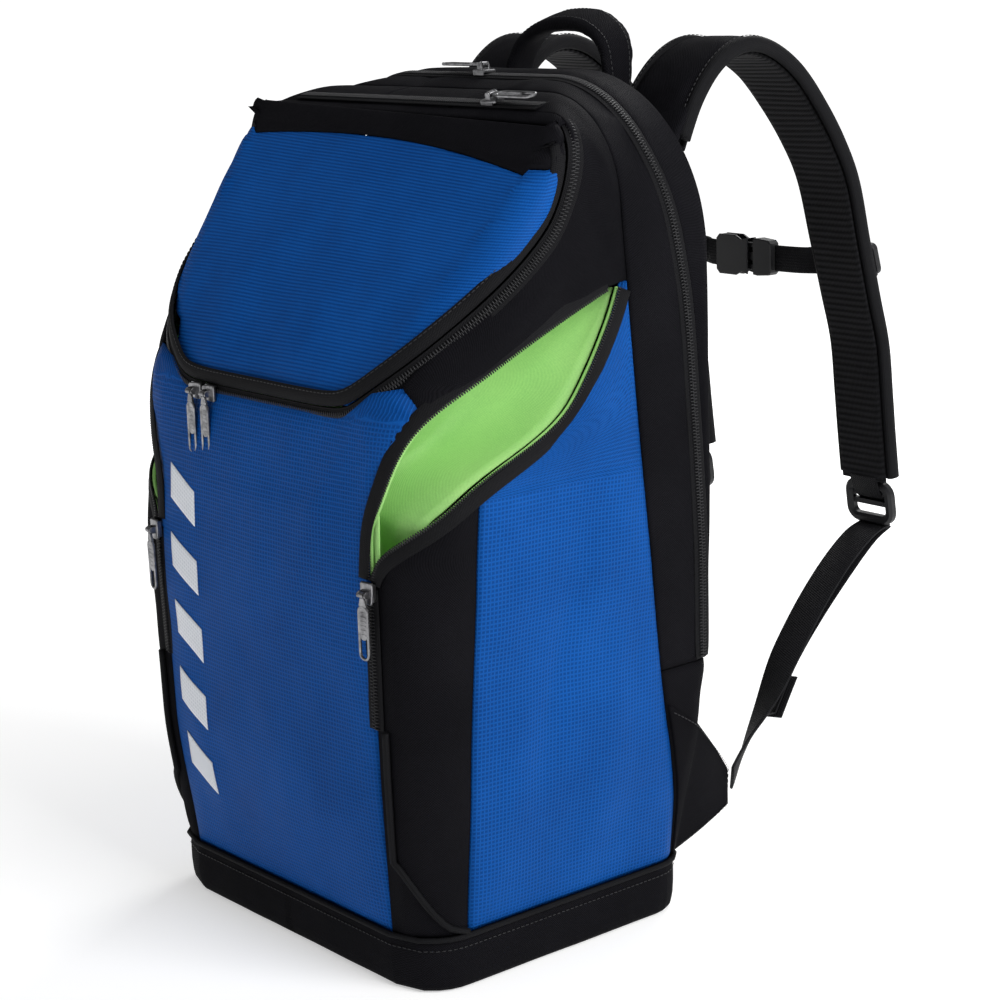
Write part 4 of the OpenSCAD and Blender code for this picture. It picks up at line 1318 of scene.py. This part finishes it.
def back_pads():
    y = BACK_Y + GAP
    channels = [(BACK_PAD[1] + dz, 0.35) for dz in (-66, -33, 0, 33, 66)]
    pad = pad_with_channels("back_pad_cloth_right", BACK_PAD, channels)
    pair(pad, "back_flap", "spacer_mesh", "back_pad")
    lumbar = pad_with_channels("lumbar_cloth", LUMBAR, [(LUMBAR[1], 0.0)])
    finish_piece(lumbar, "back_flap", "spacer_mesh", ["lumbar_pad"])
    for stem, (x, z, w, l) in (("pad_binding", BACK_PAD), ("lumbar_binding", LUMBAR)):
        path = dense(back_outline(x, y + 0.4, z, w, l, PAD_CORNER, 10), 5)
        tape = sweep(stem + "_right", path, [BACK_DIR] * len(path), flat_profile(6, 3.2), TAPE, closed=True)
        if x:
            pair(tape, "back_flap", "zip_tape")
        else:
            finish_piece(tape, "back_flap", "zip_tape")
    patch = plate("anchor_cloth", rounded_outline(190, 30, 6), [(0, 0), (2.2, 0.1), (3.0, 1.0)], BLACK)
    placed(patch, (0, y, ANCHOR_Z), (1, 0, 0), BACK_DIR)
    lay_uv(patch, box_uv)
    finish_piece(patch, "back_flap", "black_polyester", ["anchor_patch"])
    box = back_outline(0, y + 2.6, ANCHOR_Z, 183, 23, 5)
    path = dense(box + box[:1], 3)
    stitch_line("anchor_stitches", path, [BACK_DIR] * len(path), "back_flap", 0.4)


# ---- Shoulder straps -------------------------------------------------------------------------
STRAP_ROUTE = [(84, 134, 474), (84, 147, 500), (85, 163, 519), (86, 183, 529), (86, 205, 526),
               (87, 228, 512), (87, 249, 490), (88, 266, 466), (88, 280, 440), (88, 291, 401),
               (88, 302, 362), (88, 311, 330), (88, 315, 296), (88, 318, 268), (88, 322, 235)]
STRAP_ROOT = [(84, 121, 470), (84, 124, 476), (84, 129, 483), (84, 136, 492), (84, 141, 498)]
STRAP_W, STRAP_T, STRAP_TAPER, MESH_T = 62, 13, 0.74, 2
WEBBING_W, WEBBING_T = 25, 2
RAIL_FROM, RAIL_TO = 6, 12
SPAN = 8


def vectors(points):
    return [Vector(p) for p in points]


def level_normals(points):
    return [Vector((1, 0, 0)).cross(t).normalized() for t in tangents(points)]


def taper(n):
    return [mix(1, STRAP_TAPER, fade(i / (n - 1) * 1.3)) for i in range(n)]


class Route:
    """A strap's centre line, with each point's own axes."""

    def __init__(self, points, normals, widths):
        self.points, self.normals, self.widths = points, normals, widths
        self.across = [t.cross(n).normalized() for t, n in zip(tangents(points), normals)]
        self.along = [0.0]
        for a, b in zip(points, points[1:]):
            self.along.append(self.along[-1] + (b - a).length)
        self.array = np.array([list(p) for p in points])

    def locate(self, p):
        """(index, sideways, outward) of a point."""
        i = int(np.argmin(((self.array - np.array(p)) ** 2).sum(axis=1)))
        d = p - self.points[i]
        return i, d.dot(self.across[i]), d.dot(self.normals[i])

    def uv(self, p, normal):
        i, side, _ = self.locate(p)
        tangent = tangents(self.points[max(i - 1, 0):i + 2])[0]
        return side, self.along[i] + (p - self.points[i]).dot(tangent)

    def offset(self, side, out, i0=0, i1=None):
        i1 = len(self.points) if i1 is None else i1
        return [self.points[i] + self.across[i] * side * self.widths[i] + self.normals[i] * out
                for i in range(i0, i1)]


def oval(w, h, flat=0.55, sides=20):
    """A rounded cross-section with its underside on 0."""
    out = []
    for k in range(sides):
        a = 2 * math.pi * k / sides
        c, s = (math.copysign(abs(v) ** flat, v) for v in (math.cos(a), math.sin(a)))
        out.append((w / 2 * c, h / 2 + h / 2 * s))
    return out


def bound_edges(route):
    """Tape folded round both long edges of the strap, with its stitches."""
    out = []
    half, t, i0, i1 = STRAP_W / 2, STRAP_T, 2, len(route.points) - 1
    for sign, edge in ((1, "outer"), (-1, "inner")):
        path = route.offset(sign * (half - 2.2), 0, i0, i1)
        profile = [(-3.4, t * 0.20), (-3.2, t * 0.84), (0, t * 0.88), (2.2, t * 0.76), (3.0, t * 0.5),
                   (2.2, t * 0.22), (0, t * 0.12)]
        profile = [(x * sign, y) for x, y in profile]
        if sign < 0:
            profile.reverse()
        out.append(sweep(f"strap_binding_{edge}_right", path, route.normals[i0:i1], profile, TAPE))
        seam = dense(route.offset(sign * (half - 4.6), t * 0.9, i0, i1), 3)
        spots = stepped(seam, level_normals(seam), STITCH_PITCH)
        out.append(lumps(f"strap_binding_stitches_{edge}_right", spots, (2.5, 0.7, 0.7), THREAD))
    for obj in out:
        pair(obj, "back_flap", "zip_tape")


def shoulder_straps():
    points = catmull(vectors(STRAP_ROUTE), SPAN)
    n = len(points)
    route = Route(points, level_normals(points), taper(n))
    strap = sweep("strap_cloth_right", route.points, route.normals, oval(STRAP_W - 4, STRAP_T - 3), BLACK,
                  widths=route.widths)
    inflate(strap, 4.5, 2.6)
    for v in strap.data.vertices:
        p = v.co / MM
        i, side, out = route.locate(p)
        s = abs(side) / (STRAP_W / 2 * route.widths[i])
        middle = STRAP_T / 2
        pinch = 1 - 0.42 * fade((s - 0.6) / 0.4)
        target = clamp(middle + (out + 1.5 - middle) * pinch, 0.2, STRAP_T + 0.6)
        p = p + route.normals[i] * (target - out)
        p = p + route.normals[i] * 0.5 * ripple(p, 2.0, 26)
        v.co = p * MM
    lay_uv(strap, route.uv)
    pair(strap, "back_flap", "black_polyester", "strap")
    bound_edges(route)
    under = route.offset(0, -(MESH_T + GAP) + 1.6)
    mesh = sweep("strap_mesh_cloth_right", under, route.normals, oval(STRAP_W * 0.84, MESH_T + 1.4, 0.45, 24),
                 RIB_MESH, widths=route.widths)
    pair(mesh, "back_flap", "spacer_mesh", "strap_mesh")
    rail = route.offset(0, STRAP_T + 0.5, RAIL_FROM * SPAN, RAIL_TO * SPAN)
    webbing = sweep("rail_webbing_right", rail, level_normals(rail), flat_profile(20, WEBBING_T), WEBBING)
    pair(webbing, "back_flap", "webbing", "strap_rails")
    along = tangents(points)
    for k, i in enumerate((RAIL_FROM * SPAN + 2, RAIL_TO * SPAN - 3)):
        normal, across = route.normals[i], route.across[i]
        c = points[i] + normal * (STRAP_T + 2.8)
        rows = [(c + across * (x - 8.5) + along[i] * dy, across, normal)
                for dy in (-2.5, 0, 2.5) for x in np.arange(0, 17.5, 2.6)]
        tack = lumps(f"rail_tack_{k}_right", rows, (2.2, 0.8, 0.7), THREAD)
        pair(tack, "back_flap", "black_polyester")
    # where the strap is sewn to the bag, a folded tab runs from its root to the anchor patch
    path = catmull(vectors(STRAP_ROOT), 5)
    tab = sweep("strap_root_right", path, level_normals(path), oval(STRAP_W - 2, 8, 0.5), BLACK)
    lay_uv(tab, box_uv)
    pair(tab, "back_flap", "black_polyester")


# ---- Ladder locks and lower webbing ------------------------------------------------------------
LOCK_AT, LOCK_DIR, LOCK_OUT = Vector((88, 327, 218)), (0, -0.14, 0.99), (0, 0.99, 0.14)
WEB_ROUTE = [(88, 334, 203), (90, 314, 198), (94, 286, 183), (98, 257, 161), (102, 230, 135),
             (108, 204, 108), (115, 177, 86), (124, 154, 70)]


def ladder_locks():
    parts = [loop_bar("lock_frame", rounded_outline(25, 35, 7), bar_profile(6.4, 7.4, 1.8), PLASTIC, -1.2)]
    parts += [plate("lock_bar", block(x - w / 2, x + w / 2, -15, 15),
                    [(0.8, 0.5), (1.2, 0), (4.0, 0), (4.6, 0.6)]) for x, w in ((-0.5, 3.6), (7.0, 3.0))]
    parts.append(plate("lock_grip", [(-14.5, -13), (-10, -15), (-10, 15), (-14.5, 13)],
                       [(0.6, 0.4), (1.4, 0), (5.0, 0), (6.0, 0.7)]))
    lock = placed(join("ladder_lock_right", parts), LOCK_AT, LOCK_DIR, LOCK_OUT)
    pair(lock, "back_flap", "black_plastic", "ladder_locks")
    loop = [(326, 246), (328, 238), (331, 230), (335, 225.5), (333.6, 221.6), (329.4, 222.6), (325, 229),
            (322, 238)]
    path = catmull([Vector((88, y, z)) for y, z in loop], 6)
    holder = sweep("lock_webbing_right", path, level_normals(path), flat_profile(24, 1.6), WEBBING)
    pair(holder, "back_flap", "webbing")


def twisted(points, turn, start):
    """Level normals that turn by so many degrees over the last stretch."""
    out = []
    n = len(points)
    for i, (t, normal) in enumerate(zip(tangents(points), level_normals(points))):
        k = fade((i / (n - 1) - start) / (1 - start))
        out.append(Matrix.Rotation(math.radians(turn * k), 3, t) @ normal)
    return out


def lower_webbing():
    path = catmull(vectors(WEB_ROUTE), 10)
    web = sweep("lower_web_right", path, twisted(path, 62, 0.55), flat_profile(WEBBING_W, WEBBING_T), WEBBING)
    tail_route = [Vector(p) + Vector((0, 2.6 + 2.4 * math.sin(i), -2.4 - 1.6 * i))
                  for i, p in enumerate(WEB_ROUTE[:6])]
    tail_path = catmull(tail_route, 10)
    flat = flat_profile(WEBBING_W - 3, 1.6)
    tail = sweep("web_tail_right", tail_path, twisted(tail_path, 26, 0.35), flat, WEBBING)
    hem = tail_path[-9:]
    hem_fold = sweep("web_tail_hem_right", [p + Vector((0, 1.2, -1.4)) for p in hem], twisted(hem, 0, 0.5),
                     flat, WEBBING)
    tail = join("web_tail_right", [tail, hem_fold], soft=True)
    for obj, node in ((web, "lower_webbing"), (tail, "webbing_tails")):
        for piece, flip in zip(pair(obj, None, "webbing", node), (1, -1)):
            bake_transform(piece)


# ---- Sternum strap and buckle -----------------------------------------------------------------
RAIL_DIR = Vector((0, 31, -110)).normalized()
RAIL_OUT = Vector((1, 0, 0)).cross(RAIL_DIR)
STERNUM_Z, STERNUM_Y = 384, 304
RAIL_AT = Vector((88, 280, 440)) + RAIL_DIR * ((440 - STERNUM_Z) / -RAIL_DIR.z)


def sternum():
    out = STRAP_T + GAP + WEBBING_T + 1.2
    parts = [plate("slider_plate", rounded_outline(22, 38, 4),
                   [(0, 0.4), (0.8, 0), (3.4, 0), (4.6, 0.9), (5.0, 2.2)])]
    parts += [plate("slider_bar", block(x - 1.2, x + 1.2, -12, 12), [(4.6, 0), (5.9, 0.2), (6.3, 0.8)])
              for x in (-6.5, 0, 6.5)]
    parts += [plate("slider_clip", block(-11, 11, y - 3, y + 3), [(-2.2, 0.6), (-1.6, 0), (0.4, 0)])
              for y in (-15, 15)]
    slider = placed(join("sternum_slider_right", parts), RAIL_AT + RAIL_OUT * out, RAIL_DIR, RAIL_OUT)
    pair(slider, "sternum_strap", "black_plastic", "sternum_sliders")
    y0 = RAIL_AT.y + RAIL_OUT.y * out + 2
    webs = {}
    for side, x1 in (("left", 32), ("right", 22)):
        path = catmull([Vector((66, y0, STERNUM_Z)), Vector((56, y0 - 1, STERNUM_Z)),
                        Vector((42, STERNUM_Y + 2, STERNUM_Z)), Vector((x1, STERNUM_Y, STERNUM_Z))], 8)
        hem = sweep("hem", raised(path[:14], [BACK_DIR] * 14, 1.7), [BACK_DIR] * 14, flat_profile(18, 1.6),
                    WEBBING)
        web = sweep("web", path, [BACK_DIR] * len(path), flat_profile(18, 1.8), WEBBING)
        web = join(f"sternum_web_{side}_cloth", [hem, web], soft=True)
        if side == "left":
            web.data.transform(Matrix.Scale(-1, 4, (1, 0, 0)))
            web.data.flip_normals()
        webs[side] = web
    finish_piece(webs["left"], "sternum_strap", "webbing", ["sternum_web_left"])
    finish_piece(webs["right"], None, "webbing", ["sternum_web_right"])
    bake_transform(webs["right"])
    buckle()


def buckle():
    def set_in(parts, name, x, body, node):
        piece = placed(join(name, parts), (x, STERNUM_Y + 1, STERNUM_Z), (1, 0, 0), BACK_DIR)
        finish_piece(piece, body, "black_plastic", [node])
    shell = [(-15, -11), (-12, -14), (4, -14), (9, -11.5), (15, -12.5), (15, 12.5), (9, 11.5), (4, 14),
             (-12, 14), (-15, 11)]
    inner = [(-3.2, 0), (3.2, 0)]
    parts = [plate("buckle_wall", shell, levels) for levels in (
        [(-5, 0.7), (-4.5, 0), (-3.5, 0), (-3, 0.7)], [(3, 0), (4.4, 0), (5, 0.8)])]
    parts += [plate("buckle_side", block(-13, -1, y - 1.4, y + 1.4), inner) for y in (-12.2, 12.2)]
    parts += [plate("buckle_end", [(-15, -11), (-9, -12), (-9, 12), (-15, 11)], inner),
              plate("buckle_rib", [(-7, -6), (5, -4), (5, 4), (-7, 6)], [(4.8, 0), (5.5, 0.5)])]
    set_in(parts, "buckle_socket", -16, "sternum_strap", "buckle_female")
    body = [(4, -12.5), (8, -13), (19, -12), (21, -10), (21, 10), (19, 12), (8, 13), (4, 12.5)]
    blade = [(-2.4, 0.3), (-2, 0), (2, 0), (2.4, 0.3)]
    parts = [plate("plug_body", body, [(-4.5, 0.9), (-3.8, 0), (3.8, 0), (4.5, 0.9)])]
    parts += [plate("plug_grip", block(x - 0.8, x + 0.8, -8, 8), [(4.3, 0), (5.0, 0.3)]) for x in (9, 12, 15)]
    parts.append(plate("plug_tongue", [(-11, -2.4), (4.5, -3), (4.5, 3), (-11, 2.4)], blade))
    for s in (-1, 1):
        prong = [(-11, s * 6.4), (-8, s * 9.2), (-2, s * 9.4), (4.5, s * 9.4), (4.5, s * 6.2), (-2, s * 5.9)]
        parts.append(plate("plug_prong", prong[::s], blade))
    set_in(parts, "buckle_plug_body", 0, "buckle_plug", "buckle_male")


# ---- Carry handle --------------------------------------------------------------------------
HANDLE_ROUTE = [(42, 134, 500), (42, 137, 521), (35, 142, 537), (18, 145, 546), (0, 146, 548)]


def handle():
    points = arch(catmull(vectors(HANDLE_ROUTE), 8))
    normals = [Vector((0, 0.96, 0.28)).cross(t).normalized() for t in tangents(points)]
    n = len(points)
    widths = [0.8 + 0.3 * math.sin(math.pi * i / (n - 1)) for i in range(n)]
    route = Route(points, normals, widths)
    grip = sweep("handle_cloth", points, normals, oval(26, 9.5, 0.6), BLACK, widths=widths)
    inflate(grip, 3.0, 1.6)
    lay_uv(grip, route.uv)
    finish_piece(grip, "carry_handle", "black_polyester", ["handle"])
    for sign in (-1, 1):
        seam = dense([points[i] + route.across[i] * sign * 7.6 * widths[i] + normals[i] * 7.4
                      for i in range(3, n - 3)], 3)
        ns = [route.normals[route.locate(p)[0]] for p in seam]
        stitch_line(f"handle_stitches_{'front' if sign < 0 else 'rear'}", dropped(grip, seam, ns), ns,
                    "carry_handle", 0.1)


# ---- Sliders and pulls ------------------------------------------------------------------------
COIL_TOP, BAR_H = 3, 7.4
PULL_L, PULL_W = 38, 8.6


def stadium(l, w, cx, steps=8):
    out = []
    for end, a0 in ((1, -90), (-1, 90)):
        for k in range(steps + 1):
            a = math.radians(a0 + 180 * k / steps)
            out.append((cx + end * (l - w) / 2 + w / 2 * math.cos(a), w / 2 * math.sin(a)))
    return out


def turned(obj, degrees):
    obj.data.transform(Matrix.Rotation(math.radians(degrees), 4, "Z"))
    return obj


def barrel(name, r, length, hole=0.0):
    """A round bar or eye along local Y at the hinge height."""
    outline = circle(r)
    if hole:
        points = [Vector((x * (r + hole) / 2 / r, 0, BAR_H + y * (r + hole) / 2 / r)) for x, y in outline]
        wall, half = (r - hole) / 2, length / 2
        return sweep(name, points, [(p - Vector((0, 0, BAR_H))).normalized() for p in points],
                     [(-half, -wall), (-half, wall), (half, wall), (half, -wall)], METAL, closed=True)
    verts = [Vector((x, s * length / 2, BAR_H + y)) for s in (-1, 1) for x, y in outline]
    faces = [tuple(range(20)), tuple(reversed(range(20, 40)))]
    faces += [(i, i + 20, (i + 1) % 20 + 20, (i + 1) % 20) for i in range(20)]
    return mesh_object(name, verts, faces, [METAL], [(0, 0)] * 40)


def slider_piece(name, at, direction, up, turn=0):
    wings = [(-6.5, -3.4), (-5.4, -4.2), (0, -5), (5.6, -5), (6.5, -4.2), (6.5, 4.2), (5.6, 5), (0, 5),
             (-5.4, 4.2), (-6.5, 3.4)]
    parts = [plate("wings", wings, [(COIL_TOP, 0), (COIL_TOP + 1.1, 0), (COIL_TOP + 1.6, 0.6)], METAL)]
    for s in (-1, 1):
        wall = [(-4.6, s * 4.9), (5.6, s * 4.9), (5.6, s * 4.1), (-4.6, s * 3.4)]
        parts.append(plate("flange", wall[::s], [(1.2, 0.1), (COIL_TOP + 0.2, 0)], METAL))
    for s in (-1, 1):
        ear = [(-2.2, 4.4), (2.2, 4.4), (2.0, BAR_H), (1.2, BAR_H + 1.4), (0, BAR_H + 1.8),
               (-1.2, BAR_H + 1.4), (-2.0, BAR_H)]
        lug = plate("ear", ear, [(-0.6, 0.2), (-0.35, 0), (0.35, 0), (0.6, 0.2)], METAL)
        lug.data.transform(Matrix.Rotation(math.pi / 2, 4, "X"))
        lug.data.transform(Matrix.Translation((0, s * 2.9 * MM, 0)))
        parts.append(turned(lug, turn))
    parts.append(turned(barrel("bar", 0.9, 6.6), turn))
    finish_piece(placed(join(name + "_metal", parts), at, direction, up), name, "zip_metal", [name])


def pull_piece(name, at, direction, up, turn=0):
    body_l = PULL_L - 5
    cx = -PULL_L / 2 - 3.5
    rim = stadium(body_l - 1.6, PULL_W - 1.6, cx)
    parts = [barrel("eye", 1.9, 3.8, hole=1.0),
             plate("neck", [(-6.8, -2.9), (-1.8, -1.5), (-1.8, 1.5), (-6.8, 2.9)],
                   [(BAR_H - 0.8, 0.2), (BAR_H - 0.5, 0), (BAR_H + 0.5, 0), (BAR_H + 0.8, 0.2)], METAL),
             loop_bar("rim", rim, bar_profile(1.6, 1.9, 0.5), METAL, BAR_H - 0.95),
             plate("web", stadium(body_l * 0.62, PULL_W - 2.4, cx + body_l * 0.18),
                   [(BAR_H - 0.45, 0), (BAR_H + 0.45, 0)], METAL)]
    for k in range(6):
        x = cx + body_l * 0.36 - k * 2.6
        parts.append(plate("grip", block(x - 0.5, x + 0.5, -2.2, 2.2),
                           [(BAR_H + 0.4, 0), (BAR_H + 0.75, 0.2)], METAL))
    tab = join(name + "_metal", [turned(part, turn) for part in parts])
    finish_piece(placed(tab, at, direction, up), name, "zip_metal", [name])


def sliders():
    def fit(stem, side, at, along, up, turn=0):
        slider_piece(f"{stem}_slider{side}", at, along, up, turn)
        pull_piece(f"{stem}_pull{side}", at, along, up, turn)
    z = LID_LOW_Z - 5
    for side, x in (("_left", -66), ("_right", -51)):
        fit("lid", side, (x, front_at(z), z), (1, 0, 0), (0, -1, 0), turn=90)
    p, q = corner_line(CLOSED_TOP - 2), corner_line(CLOSED_LOW + 10)
    for side, spot in both([p + Vector((0.3, -0.3, 8)), p - q, outward(p)]):
        fit("pocket", "_" + side, *spot)
    fit("top", "", (74, TOP_ZIP_Y, over_top(74, TOP_ZIP_Y)), (-1, 0, 0), (0, -0.3, 1))
    fit("racket", "", (2, 66, smooth(66, TOP)), (1, 0, 0), (0, 0, 1))


# ---- Stage, light and camera ---------------------------------------------------------------
AIM = Vector((0, 0, 0.25))


def toward(azimuth, elevation):
    """The direction from the bag to a lamp or the camera, azimuth 0 being its front."""
    a, e = math.radians(azimuth), math.radians(elevation)
    return Vector((math.sin(a) * math.cos(e), -math.cos(a) * math.cos(e), math.sin(e)))


def studio():
    floor_mesh = bpy.data.meshes.new("floor")
    reach = 300.0
    floor_mesh.from_pydata([(x, y, 0) for x, y in block(-reach, reach, -reach, reach)], [], [(0, 1, 2, 3)])
    floor = add_object("floor", floor_mesh)
    glowing_paper = Nodes("glowing_paper")
    glowing_paper.ramp(glowing_paper.noise(3), (0.72, 0.72, 0.72), (0.75, 0.75, 0.75))
    glowing_paper.rough(glowing_paper.noise(60), 0.8, 0.95)
    # The floor glows: painted light, weaker near the bag and stronger further out, so the open floor reads
    # white while the lamps' real shadow near the bag still shows
    away = glowing_paper.add("ShaderNodeVectorMath", operation="LENGTH")
    glowing_paper.link(glowing_paper.place(), away.inputs[0])
    glowing_paper.spread(away.outputs["Value"], "Emission Strength", 0.45, 0.95, 0.3, 1.6)
    glowing_paper.shader.inputs["Emission Color"].default_value = (1, 1, 1, 1)
    floor_mesh.materials.append(glowing_paper.material)

    def area(name, azimuth, elevation, distance, size, power):
        light = bpy.data.lights.new(name, "AREA")
        light.shape = "RECTANGLE"
        light.size, light.size_y = size
        light.energy = power
        obj = add_object(name, light)
        back = toward(azimuth, elevation)
        obj.location = AIM + back * distance
        obj.rotation_euler = back.to_track_quat("Z", "Y").to_euler()
    area("key", 98, 34, 2.2, (1.2, 1.2), 44)
    area("front_fill", 5, 22, 2.6, (1.6, 1.2), 3)
    area("overhead", 60, 82, 2.2, (1.8, 1.8), 9)
    area("rim", 200, 38, 2.2, (1.0, 1.4), 22)
    world = bpy.data.worlds.new("studio")
    world.use_nodes = True
    for socket, value in zip(world.node_tree.nodes["Background"].inputs, ((1, 1, 1, 1), 0.2)):
        socket.default_value = value
    bpy.context.scene.world = world


CAMERA_AZ, CAMERA_EL, CAMERA_ROLL = 50.5, 13.0, -1.8
CAMERA_DISTANCE, CAMERA_LENS = 1.5, 85.68
CAMERA_ASIDE, CAMERA_RAISE = 0.054, 0.0095


def camera():
    a, roll = math.radians(CAMERA_AZ), math.radians(CAMERA_ROLL)
    back, right = toward(CAMERA_AZ, CAMERA_EL), Vector((math.cos(a), math.sin(a), 0))
    up = back.cross(right)
    target = AIM + right * CAMERA_ASIDE + up * CAMERA_RAISE
    x = right * math.cos(roll) + up * math.sin(roll)
    y = up * math.cos(roll) - right * math.sin(roll)
    data = bpy.data.cameras.new("camera")
    data.lens = CAMERA_LENS
    data.sensor_width = 36
    obj = add_object("camera", data)
    m = Matrix((x, y, back)).transposed().to_4x4()
    m.translation = target + back * CAMERA_DISTANCE
    obj.matrix_world = m
    bpy.context.scene.camera = obj


bpy.context.scene.view_settings.view_transform = "Standard"
for build in (camera, studio, base_tray, shell, gussets, pocket_lining, pocket_zips, racket_zip,
              lid, top_zip, stripes, lugs, back_panel, back_pads, shoulder_straps, ladder_locks,
              lower_webbing, sternum, handle, sliders):
    build()
